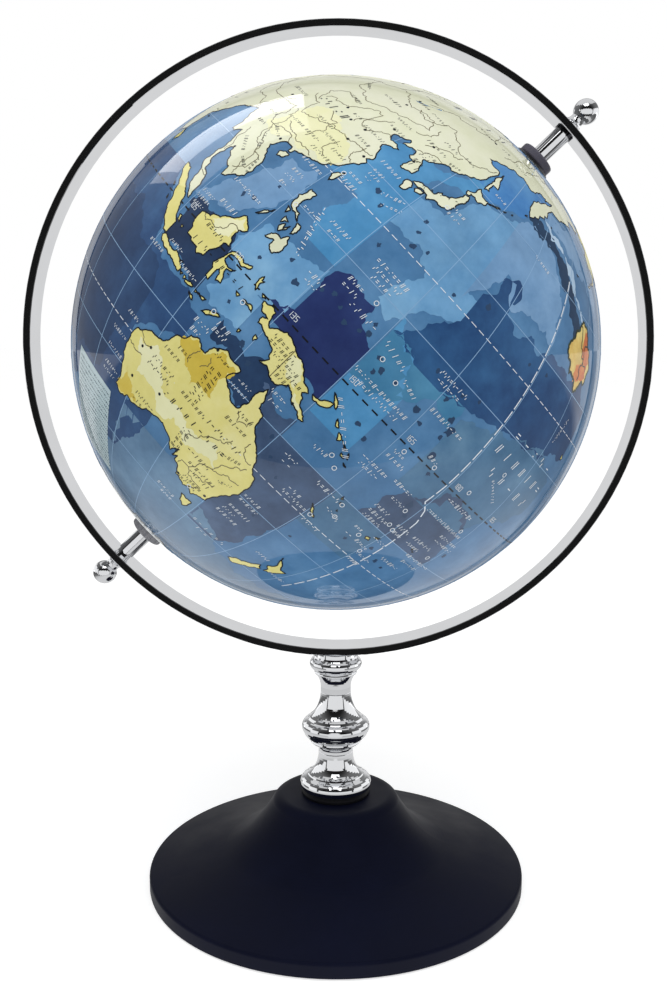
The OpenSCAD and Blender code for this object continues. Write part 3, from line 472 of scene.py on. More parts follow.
# Rivers and borders on the land
LAND_LINES = [
    # Rivers of China and Siberia
    [(94, 34), (99, 32.4), (100.4, 28), (103, 28.4), (106.5, 29.5), (111, 30.6), (114.2, 30.4),
     (117.6, 31.2), (121, 31.8)],
    [(97, 34.6), (101, 35.8), (104, 36.4), (106.6, 39.6), (110.6, 40.6), (110.6, 36.2),
     (114, 35), (118.6, 37.6)],
    [(110, 50), (117, 49.6), (121.6, 53.2), (126.6, 50.6), (130.8, 48), (134.6, 48.4),
     (137, 50.4), (140.6, 53)],
    [(124, 42.6), (125.6, 44.6), (128, 46), (132, 47.6)],
    [(106, 54), (113, 59), (120, 60.6), (129.4, 62), (127.4, 65), (123.6, 67.6), (126.6, 72.8)],
    [(94, 51.6), (92, 56), (90, 61), (87, 66), (83, 71)],
    [(84, 52), (78, 56), (70, 60.6), (66.6, 65), (71, 66.4)],
    [(147, 63), (151, 66.6), (158, 68.6), (161, 69.6)],
    [(137, 60), (141, 64.6), (146, 67), (150, 71)],
    [(102, 25), (105.6, 23.6), (109, 23), (112, 23.2), (113.6, 22.6)],
    [(98.6, 28), (100.4, 22), (102, 18), (105, 16), (105.4, 12.6), (106.4, 10)],
    [(94, 29.4), (91, 26), (89.6, 24), (90.6, 22.4)],
    [(78, 30.6), (80, 26.6), (85, 25.4), (88.6, 24), (90.2, 22.6)],
    [(81, 31.4), (74.6, 34), (71, 30), (68, 25.4), (67.6, 24)],
    # Borders
    [(87.6, 49.2), (92, 50.6), (98, 52), (103, 50.4), (110, 49.2), (116.6, 49.8), (119.8, 46.6),
     (115, 45), (111.6, 43.6), (105, 41.6), (96.4, 42.8), (91, 45), (87.6, 49.2)],
    [(73.6, 39.6), (80, 42), (82.4, 45.2), (87.6, 49.2)],
    [(73.6, 39.6), (78, 35.6), (79, 32.4), (81.2, 30.2), (88, 27.8), (92, 27.8), (97.4, 28.4),
     (98.6, 25.6), (97.6, 24), (99.2, 22.2), (101.6, 22.2), (105.4, 23.2), (108, 21.6)],
    [(101.2, 21.6), (104, 18.4), (105, 16), (107.4, 15.4), (107.4, 12.4), (105, 11)],
    [(97.6, 18.6), (98.6, 15), (99.4, 12)],
    [(124.4, 40.2), (127, 41.8), (130.4, 42.4)],
    [(126.6, 37.8), (128.4, 38.6)],
    [(102.2, 6.2), (100.2, 6.6)],
    [(109.6, 1.9), (111, 1), (113.6, 1.4), (115.6, 2.8), (116, 4.2), (117.8, 4.1)],
    [(141, -2.7), (141, -9)],
    [(124.9, -9), (125.2, -9.5)],
    # Provinces
    [(109.6, 34.6), (112, 38.4), (114, 41.4)],
    [(114, 29), (113.4, 25.4), (115.6, 24.6)],
    [(118.6, 32), (118, 29.4), (120, 27.4)],
    [(104, 33), (108.6, 31.6), (109.4, 28.4), (108, 25)],
    [(97, 33), (94, 36.6), (98.6, 39.2), (103, 38.6)],
    [(119, 43.6), (122, 45.6), (121, 49)],
    # Australia: state lines and rivers
    [(144.6, -37.9), (147, -36), (144.4, -36), (141.8, -34.2), (139.6, -34.2), (139.2, -35.4)],
    [(152, -28.6), (149, -28.8), (147.6, -30), (145.8, -30.4), (142.4, -33.4), (141.8, -34.2)],
    [(148.8, -33.4), (146.4, -34.4), (143.4, -34.6)],
    [(144.6, -22.6), (142, -25), (139.4, -26.8), (137.6, -28.6)],
    [(147.4, -20.4), (148, -23), (150.4, -23.4)],
    [(141.4, -17.6), (142.6, -19.4), (144.6, -18.6), (144.8, -17)],
    [(114, -24.8), (116.4, -25.4), (118.6, -25)],
    [(115.4, -21.6), (117, -22.6), (119.4, -22.4)],
    [(128.6, -15.2), (127.4, -17.4), (128, -18.6)],
    [(131, -14.6), (131.6, -16.2), (130.4, -17.4)],
    [(150.6, -24.8), (148.6, -26.2), (146.4, -28.2), (145.6, -30.4)],
    [(137.6, -28.4), (136.8, -29.4), (137.6, -30.4)],
    # Far side: a few borders and rivers
    [(31, 31), (31.6, 26), (33, 20), (32.4, 12), (32, 4), (33, 0)],
    [(12.6, -5.9), (16, -1.6), (22, 2), (25.6, -2), (26, -8)],
    [(-5, 15), (0, 17), (4, 11), (6.4, 5)],
    [(25, 31.6), (25, 20), (16, 23), (12, 24)],
    [(22, -18), (25, -18), (30, -16), (35.4, -18.8)],
    [(-123, 49), (-95, 49), (-89, 48), (-83, 46), (-79, 43.4), (-75, 45), (-70, 47)],
    [(-141, 69.6), (-141, 60.4), (-135, 59.6), (-130.4, 55.6)],
    [(-117, 32.5), (-111, 31.4), (-106.4, 31.8), (-101.4, 29.8), (-97.4, 26)],
    [(-95, 47), (-91, 42), (-90, 36), (-91.4, 31), (-89.4, 29.6)],
    [(-50.6, 0), (-55, -2.4), (-62, -3.6), (-70, -4), (-75, -4.6)],
    [(-60, 5), (-64, 2), (-70, 1), (-70, -4), (-73, -9), (-65, -11), (-58, -18), (-57, -25),
     (-54, -27), (-57.6, -31)],
    [(-70, -18), (-67, -23), (-70, -33), (-72, -42), (-72, -51)],
    [(28, 70), (30, 62), (28, 57), (24, 50), (22, 46), (28, 44)],
    [(6, 51), (8, 48), (14, 48.6), (17, 46), (14, 44.6)],
]
DATE_LINE = [
    (179.3, 48), (179.3, 20), (179.2, 0), (178.8, -5), (180.5, -6.3), (181.7, -9),
    (182.3, -15), (183, -23), (184, -45),
]
# The band's ornamental marker at the map's far right, with its inner flames
ORNAMENT = [
    (186.5, 38), (188, 41), (190, 43.4), (193, 43.8), (195.4, 42), (198, 40), (200, 37),
    (199, 34), (196.4, 32.6), (194, 30.8), (191.6, 32.6), (189.6, 32.4), (187.4, 34.6),
]
ORNAMENT_HOT = [
    (193, 43), (196, 41), (198.6, 38), (198.4, 34.8), (195, 33), (192.6, 31.8), (192, 34.4),
    (194.6, 36.4), (193, 39),
]
LEGEND = [(95, -37), (114.3, -37.2), (116.6, -47.5), (118.5, -58), (95, -58)]

# Rows of hatch strokes in place of printed names:
# start, end, height of the strokes, in degrees
SEA_NAMES = [
    (125.3, 18, 129, 8.5, 1.3), (128, 17.2, 133, 17.2, 1.0), (129, 15.6, 132, 15.6, 1.0),
    (139, 18.5, 147, 18.5, 1.2), (139.6, 17.1, 146.6, 17.1, 1.2), (140.6, 15.7, 145.6, 15.7, 1.2),
    (138, 12.7, 141.6, 12.7, 1.1), (138, 11.2, 141.6, 11.2, 1.1), (132.5, 8.3, 136.5, 8.3, 1.2),
    (133, 6.9, 136, 6.9, 1.0), (150, 3, 163, 3, 1.1), (151.5, 1.6, 162, 1.6, 1.1),
    (157.8, 7.4, 161.6, 6.4, 1.0), (161.5, 13.3, 169, 13.3, 1.1), (162, 11.9, 168, 11.9, 1.1),
    (165, 7.5, 174, 7.5, 1.1), (171.6, 1.6, 174, 1.2, 1.0), (165.8, -2.2, 168.4, -2.2, 0.9),
    (165.4, -3.6, 170, -3.6, 1.1), (170.5, -6, 175.5, -6, 1.1), (173, -8.6, 176.6, -8.6, 1.0),
    (162.5, -6.7, 169, -6.7, 1.1), (163, -8.1, 168, -8.1, 1.1), (155.2, -11.9, 158.4, -11.6, 1.0),
    (152.8, -16.7, 156, -16.7, 1.1), (153.4, -18.1, 155.6, -18.1, 1.1),
    (161, -16.3, 167, -16.3, 1.2), (166.4, -18.6, 170.4, -19.4, 1.0),
    (158.4, -21, 161.6, -21, 1.1), (158, -22.3, 164.6, -22.3, 1.1),
    (165.5, -23.8, 170, -23.8, 1.0), (173.5, -17.5, 175.6, -17.5, 0.9),
    (173.6, -19.8, 175.4, -19.8, 1.0), (176.6, -19.6, 180.6, -19.9, 1.0),
    (172, -11.6, 176, -11.6, 1.0), (172, -13.1, 177.4, -13.1, 1.1), (172, -14.5, 177, -14.5, 1.0),
    (179.2, -11.8, 183, -11.8, 1.0), (180, -13.3, 182.6, -13.3, 0.9),
    (184.5, -11.5, 191, -11.5, 1.0), (184.5, -13.2, 189, -13.2, 1.0),
    (180.6, -5.6, 193.6, -5.8, 1.0), (189, -7.8, 195.6, -7.8, 1.0), (189, -9.2, 196, -9.2, 1.0),
    (182, -1.6, 191, -1.6, 1.2), (188, -15.1, 197, -15.1, 1.0), (178.5, -16.8, 182.5, -16.8, 1.0),
    (189, -16.8, 195, -16.8, 0.9), (185, -19.1, 191, -19.1, 1.0), (179.6, -23.6, 183.6, -24, 1.0),
    (180, -21.6, 184.6, -21.8, 0.9), (129.3, 27.6, 134.2, 29.6, 1.0),
    (131.2, 26, 135.2, 27.8, 1.0), (140.5, 36.7, 144.6, 36.7, 1.1), (140.8, 35.1, 144.6, 35.1, 0.9),
    (123, 32.5, 129, 32.4, 1.0), (124, 30, 127, 30, 0.9), (124, 28.8, 127.2, 28.8, 0.9),
    (124.4, 27.6, 126, 27.6, 0.9), (121.8, 26, 125.4, 26, 1.0), (121.6, 24.2, 126, 24.2, 1.1),
    (113, 21.7, 119, 21.7, 1.0), (114.2, 18.8, 117.4, 18.8, 0.9), (114.2, 17.2, 117, 17.2, 0.9),
    (114.8, 15.6, 116.8, 15.6, 0.9), (122.4, 15.5, 125.6, 15.5, 1.0),
    (108, 10, 116.5, 10, 1.0), (110, 5.6, 115, 5.6, 1.2), (105, 4.5, 109, 4.5, 0.9),
    (104.8, 3.2, 109, 3.2, 0.9), (105.4, 1.9, 108.6, 1.9, 0.9), (108, -5.9, 112.5, -5.9, 1.0),
    (113.5, -7.4, 119, -7.4, 1.0), (103.5, -8.6, 108.5, -8.6, 1.0),
    (127.4, -9.3, 130.6, -9.3, 1.2), (127.4, -10.6, 131, -10.6, 1.2),
    (123.5, -11.8, 127.5, -11.8, 1.2), (124, -13.5, 126.6, -13.5, 1.2),
    (137.4, -13.5, 140.6, -13.5, 0.9), (136.4, -15, 140.8, -15, 0.9),
    (142.8, -10.3, 146.4, -10.3, 1.0), (143.6, -11.8, 147, -11.8, 1.0),
    (109.6, -21, 113.4, -21, 0.9), (107.5, -25.7, 112.8, -25.7, 0.9),
    (108, -29.3, 113.8, -29.3, 0.9), (109, -32.7, 114.6, -32.7, 0.9), (109, -34.2, 114, -34.2, 0.9),
    (154.2, -29, 158.6, -29, 1.0), (154.2, -30.5, 159.5, -30.5, 1.0),
    (153.8, -33.3, 160, -33.3, 1.0), (153.4, -34.9, 157, -34.9, 1.0),
    (152.8, -36.4, 159, -36.4, 1.0), (138, -43.7, 144, -43.7, 1.0), (140, -45, 144, -45, 1.0),
    (168, -38, 172.4, -38, 0.9), (176, -40.6, 182, -40.6, 0.9), (164, 44.6, 170, 44.2, 0.9),
    (196, 20, 198, 26, 0.9), (187, 6.6, 192, 3.4, 0.9), (145, 47.6, 149, 47.6, 0.9),
]
# Widely spaced single marks: start, end, height, number of marks
SPACED_NAMES = [
    (141.5, 9.8, 148, 9.8, 1.4, 5), (150.7, 9.8, 156.5, 8.5, 1.4, 5),
    (152, -2.5, 161, -9.5, 1.3, 9), (151.5, -43.7, 162.5, -43.7, 1.2, 6),
    (154, -45.4, 158, -45.4, 1.2, 3), (184, 15.7, 201.5, 15.7, 2.3, 5),
    (181.7, 11.5, 203.5, 11.5, 2.3, 7), (184.5, 7.5, 201.5, 7.5, 2.3, 5),
]
LAND_NAMES = [
    (112, 0.9, 117, 0.9, 1.3), (136.5, -3.4, 142, -3.4, 1.1), (136.5, -4.5, 142.5, -4.5, 1.1),
    (138.5, -5.6, 144.5, -5.6, 1.0), (140.6, -6.7, 146.4, -6.7, 1.1),
    (141.4, -7.9, 144.6, -7.9, 1.0), (121, -23, 127.5, -23, 1.2), (120.6, -24.6, 127.5, -24.6, 1.2),
    (132.5, -22.5, 132.5, -15.4, 1.3), (134.2, -23, 134.2, -15.2, 1.3),
    (138.3, -23.5, 147.3, -23.5, 1.3), (130.6, -23.4, 137.6, -23.7, 1.1),
    (135.8, -33.6, 135.8, -28.4, 1.2), (137.2, -34, 137.2, -28, 1.2),
    (139, -31, 145.3, -31, 1.1), (141, -33.2, 149, -33.2, 1.1), (142.4, -34.5, 148.4, -34.5, 1.1),
    (142, -36.6, 147.6, -36.6, 1.0), (141, -37.6, 146.6, -37.6, 1.0),
    (121.5, -31.5, 127.7, -31.5, 1.0), (121.4, -33, 124.6, -33, 1.0),
    (124.5, -17.8, 128, -17.8, 1.0), (122, -19.8, 126.5, -19.8, 1.0),
    (131, -13.4, 134.8, -13.4, 1.0), (141.3, -17.7, 145, -17.7, 1.1),
    (140.3, -20.1, 145.7, -20.1, 1.1), (125, 47.5, 130, 47.5, 1.0), (122.5, 44.3, 129.5, 44.3, 1.0),
    (126, 41.4, 129.4, 41.4, 1.0), (125.6, 40.1, 128.6, 40.1, 1.0), (126.2, 38.2, 129, 38.2, 1.0),
    (126.6, 36.6, 129.2, 36.6, 1.1), (112.5, 43, 118, 43, 0.9), (114.5, 40.2, 119.5, 40.2, 0.9),
    (112, 35.6, 119, 35.6, 0.9), (107, 36, 110, 36, 0.9), (114, 32.6, 118.5, 32.6, 0.9),
    (103.5, 30, 110, 30, 0.9), (109.5, 28.2, 115.5, 28.2, 0.9), (114.6, 26.9, 119, 26.9, 0.9),
    (106.5, 26, 111.5, 26, 0.9), (99.5, 26, 105.5, 26, 0.9), (111.5, 24.5, 118, 24.5, 0.9),
    (101, 22.6, 105, 21, 0.9), (99.6, 17, 103, 14.4, 0.9), (102, 20, 104.6, 17, 0.9),
    (104.4, 13.6, 106.8, 12.6, 0.9), (107.4, 15.6, 108.6, 12, 0.9), (96, 21, 99, 21, 0.9),
    (94.6, 24, 98, 24, 0.9), (90, 46, 96, 44, 0.9), (100, 46, 108, 46, 1.0), (98, 39.4, 104, 39, 0.9),
    (86, 32, 94, 31.6, 1.0), (104, 52, 110, 52, 0.9), (112, 52, 119, 51.6, 0.9),
    (120, 62.4, 128, 62, 0.9), (132, 48.6, 135.6, 48.4, 0.9), (140, 62, 148, 62, 0.9),
    (98, 56.4, 106, 56.2, 0.9), (133, 62.6, 137, 63, 0.8), (131.4, 43.8, 134.6, 44.6, 0.8),
    (144, -26.6, 149, -25, 0.9), (148.4, -31.4, 151.4, -30, 0.8),
]
SPACED_LAND = [
    (111.8, -2.3, 126.6, -2.3, 1.2, 9), (127.7, -26.3, 145.6, -26.3, 1.5, 9),
    (97, 33.8, 108, 33.8, 2.0, 5), (84, 60, 130, 66.6, 2.2, 6), (133, 34.9, 140.6, 38.4, 0.9, 5),
    (20, 8, 34, -18, 2.2, 6), (-110, 44, -86, 38, 2.2, 6), (-66, -4, -50, -18, 2.2, 6),
    (8, 52, 40, 54, 2.0, 6), (76, 24, 82, 14, 1.6, 5),
]
TOWNS = [
    (144.7, 13), (157, 6), (174.2, 0.6), (167.4, -1.2), (177.5, -8.8), (158.8, -10.8), (168, -16.3),
    (165.8, -22.2), (169.2, -19), (176, -18.5), (178, -12.8), (179.6, -13.2), (180, -21),
    (121.2, 14.5), (121.4, 25), (140, 35.7), (184.6, 1.8), (193, -13), (188.6, 8.8), (192, -4.6),
    (152.4, 7.2), (161, -12.2), (144.9, -37.8), (128.4, -3.7), (125.6, -8.6),
]
LAND_TOWNS = [
    (149, -36.6), (117.6, -23.6), (119.6, -22.4), (118.8, -29.8), (127, -27.6), (131, -12.7),
    (147.2, -9.4), (116.4, 39.9), (126.9, 37.5), (106.9, 47.9), (105.8, 21), (100.6, 13.8),
    (104.2, 36), (113.6, 34.8), (108.9, 34.3), (114.2, 30.6), (120.2, 30.3), (125.4, 43.9),
    (104.3, 52.3), (129.7, 62), (92.8, 56), (82.9, 55), (91.1, 29.7), (140.9, -37.4),
]

# ---------------------------------------------------------------------------
# Geometry helpers
# ---------------------------------------------------------------------------
def rough(points, seed, step=0.7, wobble=0.16, closed=True):
    """The outline with its edges split up to `step` degrees and moved a little
    sideways, like a drawn coast. Level and upright edges stay straight."""
    rng = random.Random(seed)
    finished = []
    count = len(points)
    for i in range(count if closed else count - 1):
        chain = [points[i], points[(i + 1) % count]]
        straight = chain[0][0] == chain[1][0] or chain[0][1] == chain[1][1]
        while True:
            squeeze = math.cos(math.radians(min(80, abs(chain[0][1]))))
            longest = math.hypot((chain[1][0] - chain[0][0]) * squeeze,
                                 chain[1][1] - chain[0][1])
            if longest <= step:
                break
            denser = []
            for a, b in zip(chain, chain[1:]):
                dx, dy = b[0] - a[0], b[1] - a[1]
                shift = 0 if straight else rng.uniform(-wobble, wobble)
                middle = ((a[0] + b[0]) / 2 - dy * shift, (a[1] + b[1]) / 2 + dx * shift)
                denser += [a, middle]
            chain = denser + [chain[-1]]
        finished += chain[:-1]
    if not closed:
        finished.append(points[-1])
    return finished


def inside(point, outline):
    """True if the point lies within the closed outline."""
    x, y = point
    found = False
    for (x0, y0), (x1, y1) in zip(outline, outline[1:] + outline[:1]):
        if (y0 > y) != (y1 > y) and x < (x1 - x0) * (y - y0) / (y1 - y0) + x0:
            found = not found
    return found


class Layer:
    """Collects printed shapes as one closed, very thin solid on the ball."""

    def __init__(self, name, up):
        self.name = name
        self.top = BALL_R + up
        self.low = BALL_R + up - LAYER_T
        self.points = []
        self.normals = []
        self.faces = []

    def add(self, outline_points, faces):
        """Adds a patch: its (lon, lat) points and its faces, seen from outside."""
        first = len(self.points)
        count = len(outline_points)
        directions = [outward(lon, lat) for lon, lat in outline_points]
        for radius in (self.top, self.low):
            self.points += [globe_centre + d * radius for d in directions]
            self.normals += directions
        edges = {}
        for face in faces:
            self.faces.append([first + i for i in face])
            self.faces.append([first + count + i for i in reversed(face)])
            for a, b in zip(face, face[1:] + face[:1]):
                edges[(a, b)] = True
        for a, b in edges:
            if (b, a) not in edges:
                self.faces.append([first + a, first + count + a,
                                   first + count + b, first + b])

    def area(self, outline, grid=2.0):
        """Fills a closed outline, with inner points so that it follows the ball."""
        lons = [p[0] for p in outline]
        lats = [p[1] for p in outline]
        points = list(outline)
        row = math.floor(min(lats) / grid) * grid
        while row < max(lats):
            row += grid
            spacing = grid / max(0.12, math.cos(math.radians(row)))
            lon = math.floor(min(lons) / spacing) * spacing
            while lon < max(lons):
                lon += spacing
                if inside((lon, row), outline):
                    points.append((lon, row))
        border = list(range(len(outline)))
        made, _, faces, _, _, _ = delaunay_2d_cdt(
            [Vector(p) for p in points], [], [border], 1, 1e-5)
        flat = [(p.x, p.y) for p in made]
        upright = []
        for face in faces:
            (ax, ay), (bx, by), (cx, cy) = (flat[i] for i in face[:3])
            turn = (bx - ax) * (cy - ay) - (by - ay) * (cx - ax)
            upright.append(list(face) if turn > 0 else list(reversed(face)))
        self.add(flat, upright)

    def line(self, path, width, closed=False):
        """Draws a line of that width, in degrees, along (lon, lat) points."""
        path = list(path)
        count = len(path)
        sides = []
        for i in range(count):
            before = path[i - 1] if (closed or i > 0) else path[i]
            after = path[(i + 1) % count] if (closed or i < count - 1) else path[i]
            squeeze = math.cos(math.radians(path[i][1]))
            dx, dy = (after[0] - before[0]) * squeeze, after[1] - before[1]
            length = math.hypot(dx, dy) or 1
            ox, oy = -dy / length * width / 2 / squeeze, dx / length * width / 2
            sides.append((path[i][0] + ox, path[i][1] + oy))
            sides.append((path[i][0] - ox, path[i][1] - oy))
        faces = []
        for i in range(count if closed else count - 1):
            j = (i + 1) % count
            faces.append([2 * i + 1, 2 * j + 1, 2 * j, 2 * i])
        self.add(sides, faces)

    def dashes(self, path, width, dash, gap):
        """Draws a dashed line along (lon, lat) points."""
        walk = densify(path, 0.25)
        run, travelled, drawing = [walk[0]], 0.0, True
        for a, b in zip(walk, walk[1:]):
            squeeze = math.cos(math.radians(a[1]))
            travelled += math.hypot((b[0] - a[0]) * squeeze, b[1] - a[1])
            run.append(b)
            if travelled >= (dash if drawing else gap):
                if drawing:
                    self.line(run, width)
                run, travelled, drawing = [b], 0.0, not drawing

    def ring(self, centre, radius, width, sides=12):
        """Draws a small circle."""
        squeeze = math.cos(math.radians(centre[1]))
        self.line([(centre[0] + radius * math.cos(2 * math.pi * i / sides) / squeeze,
                    centre[1] + radius * math.sin(2 * math.pi * i / sides))
                   for i in range(sides)], width, closed=True)

    def build(self, finish):
        """Makes the object, which turns with the globe."""
        mesh = bpy.data.meshes.new(self.name)
        mesh.from_pydata([tuple(p) for p in self.points], [], self.faces)
        mesh.materials.append(finish)
        mesh.shade_smooth()
        mesh.normals_split_custom_set_from_vertices([tuple(n) for n in self.normals])
        made = bpy.data.objects.new(self.name, mesh)
        bpy.context.scene.collection.objects.link(made)
        made.visible_glossy = False
        printed_parts.objects.link(made)
        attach(made, "globe")


def densify(path, step):
    """The path with extra points, no further apart than `step` degrees."""
    made = [path[0]]
    for a, b in zip(path, path[1:]):
        pieces = max(1, math.ceil(max(abs(b[0] - a[0]), abs(b[1] - a[1])) / step))
        made += [(a[0] + (b[0] - a[0]) * i / pieces, a[1] + (b[1] - a[1]) * i / pieces)
                 for i in range(1, pieces + 1)]
    return made


MARK_WIDTH = 0.6  # as shares of a mark's height
MARK_PITCH = 0.78
# Plain hatch strokes in a box MARK_WIDTH wide and 1 high. A mark is either all dashes or all strokes
# that lean to the right, and no two of its strokes touch, so none of them is a letter.
MARKS = [
    [(0.1, 0.1, 0.3, 0.9), (0.35, 0.1, 0.55, 0.9)],
    [(0.2, 0.1, 0.4, 0.9)],
    [(0.05, 0.35, 0.5, 0.35), (0.05, 0.65, 0.5, 0.65)],
    [(0.1, 0.1, 0.2, 0.5), (0.4, 0.5, 0.5, 0.9)],
    [(0.05, 0.5, 0.5, 0.5)],
    [(0.1, 0.5, 0.2, 0.9), (0.4, 0.1, 0.5, 0.5)],
    [(0.1, 0.2, 0.25, 0.8), (0.35, 0.2, 0.5, 0.8)],
    [(0.05, 0.3, 0.25, 0.3), (0.35, 0.7, 0.55, 0.7)],
]


def name_row(layer, row, weight, rng, marks=None):
    """Draws one row of hatch strokes where the print has a name."""
    lon0, lat0, lon1, lat1, height = row[:5]
    squeeze = math.cos(math.radians((lat0 + lat1) / 2))
    dx, dy = (lon1 - lon0) * squeeze, lat1 - lat0
    length = math.hypot(dx, dy)
    ux, uy = dx / length, dy / length
    count = marks or max(2, round(length / (MARK_PITCH * height)))
    gap = (length - MARK_WIDTH * height) / (count - 1)
    for i in range(count):
        for x0, y0, x1, y1 in rng.choice(MARKS):
            ends = []
            for x, y in ((x0, y0), (x1, y1)):
                along, up = i * gap + x * height, (y - 0.5) * height
                ends.append((lon0 + (along * ux - up * uy) / squeeze,
                             lat0 + along * uy + up * ux))
            layer.line(ends, weight)


# Seven-stroke digits for the degree figures along the equator
BARS = {"a": (0, 1, .5, 1), "b": (.5, .5, .5, 1), "c": (.5, 0, .5, .5), "d": (0, 0, .5, 0),
        "e": (0, 0, 0, .5), "f": (0, .5, 0, 1), "g": (0, .5, .5, .5)}
DIGITS = {"0": "abcdef", "1": "bc", "2": "abged", "3": "abgcd", "5": "afgcd", "6": "afgedc",
          "8": "abcdefg"}
DIGIT_PITCH = 0.8  # from one digit to the next, as a share of their height


def degree_figure(layer, text, lon, lat, height=1.0, weight=0.1):
    """Draws a number of degrees beside a point of the map."""
    for place, digit in enumerate(text):
        for bar in DIGITS[digit]:
            x0, y0, x1, y1 = BARS[bar]
            left = lon + place * DIGIT_PITCH * height
            layer.line([(left + x0 * height, lat + y0 * height),
                        (left + x1 * height, lat + y1 * height)], weight)


# ---------------------------------------------------------------------------
# Materials
# ---------------------------------------------------------------------------
def linear(hex_colour):
    """Linear RGB of a colour written as rrggbb."""
    parts = [int(hex_colour[i:i + 2], 16) / 255 for i in (0, 2, 4)]
    return [p / 12.92 if p <= 0.04045 else ((p + 0.055) / 1.055) ** 2.4 for p in parts]


def new_material(name):
    """A material with its shader and an object-space coordinate to build on."""
    made = bpy.data.materials.new(name)
    made.use_nodes = True
    nodes, links = made.node_tree.nodes, made.node_tree.links
    shader = nodes["Principled BSDF"]
    place = nodes.new("ShaderNodeTexCoord")
    return made, nodes, links, shader, place.outputs["Object"]


def noise(nodes, links, place, scale, detail=4.0, roughness=0.55):
    """Noise at that many features per metre."""
    made = nodes.new("ShaderNodeTexNoise")
    made.inputs["Scale"].default_value = scale
    made.inputs["Detail"].default_value = detail
    made.inputs["Roughness"].default_value = roughness
    links.new(place, made.inputs["Vector"])
    return made.outputs["Fac"]


def ramp(nodes, links, source, stops):
    """Colours blended along a source value: (position, linear RGB) stops."""
    made = nodes.new("ShaderNodeValToRGB")
    made.color_ramp.elements[0].position = stops[0][0]
    made.color_ramp.elements[0].color = (*stops[0][1], 1)
    made.color_ramp.elements[1].position = stops[-1][0]
    made.color_ramp.elements[1].color = (*stops[-1][1], 1)
    for position, colour in stops[1:-1]:
        made.color_ramp.elements.new(position).color = (*colour, 1)
    links.new(source, made.inputs["Fac"])
    return made.outputs["Color"]


def blend(nodes, links, factor, first, second):
    """Mixes two colours by a factor socket."""
    made = nodes.new("ShaderNodeMix")
    made.data_type = "RGBA"
    links.new(factor, made.inputs["Factor"])
    links.new(first, made.inputs["A"])
    links.new(second, made.inputs["B"])
    return made.outputs["Result"]


def spread(nodes, links, source, low, high, from_low=0.3, from_high=0.7):
    """Maps a noise value to a range."""
    made = nodes.new("ShaderNodeMapRange")
    made.inputs["From Min"].default_value = from_low
    made.inputs["From Max"].default_value = from_high
    made.inputs["To Min"].default_value = low
    made.inputs["To Max"].default_value = high
    links.new(source, made.inputs["Value"])
    return made.outputs["Result"]


def bump(nodes, links, source, shader, strength, distance):
    """Fine relief; distance in metres."""
    made = nodes.new("ShaderNodeBump")
    made.inputs["Strength"].default_value = strength
    made.inputs["Distance"].default_value = distance
    links.new(source, made.inputs["Height"])
    links.new(made.outputs["Normal"], shader.inputs["Normal"])


def choose(nodes, links, factor, first, second):
    """The first shader where the factor is 0, the second where it is 1."""
    made = nodes.new("ShaderNodeMixShader")
    for place, socket in enumerate((factor, first, second)):
        links.new(socket, made.inputs[place])
    return made.outputs[0]


def lacquer(nodes, links, shader):
    """The clear gloss over the printed map, thinned where the surface turns edge on."""
    facing = nodes.new("ShaderNodeLayerWeight")
    links.new(spread(nodes, links, facing.outputs["Facing"], 1.0, 0.1, 0.89, 0.95),
              shader.inputs["Coat Weight"])
    shader.inputs["Coat Roughness"].default_value = 0.03
    shader.inputs["Coat IOR"].default_value = 1.5
    shader.inputs["Specular IOR Level"].default_value = 0.2
    shader.inputs["Roughness"].default_value = 0.6


def scaled(colour, factor):
    """The colour made lighter or darker."""
    return [min(1.0, c * factor) for c in colour]


def print_material(name, hex_colour, mottle=0.22, tint=None, broad=14, fine=70):
    """Printed colour under lacquer, with cloudy tone changes like watercolour."""
    made, nodes, links, shader, place = new_material(name)
    colour = linear(hex_colour)
    other = linear(tint) if tint else scaled(colour, 1 + mottle)
    clouds = noise(nodes, links, place, broad, 5.0, 0.6)
    wash = ramp(nodes, links, clouds,
                [(0.32, scaled(colour, 1 - mottle)), (0.5, colour), (0.68, other)])
    grain = noise(nodes, links, place, fine, 6.0, 0.65)
    speck = ramp(nodes, links, grain,
                 [(0.3, scaled(colour, 1 - mottle)), (0.7, scaled(other, 1 + mottle / 2))])
    share = nodes.new("ShaderNodeMix")
    share.data_type = "RGBA"
    share.inputs["Factor"].default_value = 0.35
    links.new(wash, share.inputs["A"])
    links.new(speck, share.inputs["B"])
    links.new(share.outputs["Result"], shader.inputs["Base Color"])
    lacquer(nodes, links, shader)
    return made


def metal_material(name, colour, rough_low, rough_high, streak=400, relief=0.02, brushed=False):
    """Metal with fine polish marks and faint changes of gloss."""
    made, nodes, links, shader, place = new_material(name)
    shader.inputs["Metallic"].default_value = 1.0
    smear = noise(nodes, links, place, 35, 5.0)
    fine_place = place
    if brushed:
        stretch = nodes.new("ShaderNodeMapping")
        stretch.inputs["Scale"].default_value = (1, 1, 30)
        links.new(place, stretch.inputs["Vector"])
        fine_place = stretch.outputs["Vector"]
    fine = noise(nodes, links, fine_place, streak, 6.0, 0.6)
    shade = ramp(nodes, links, smear, [(0.3, scaled(colour, 0.94)), (0.7, colour)])
    links.new(shade, shader.inputs["Base Color"])
    gloss = spread(nodes, links, smear, rough_low, rough_high)
    links.new(gloss, shader.inputs["Roughness"])
    bump(nodes, links, fine, shader, relief, 0.02 * MM)
    return made


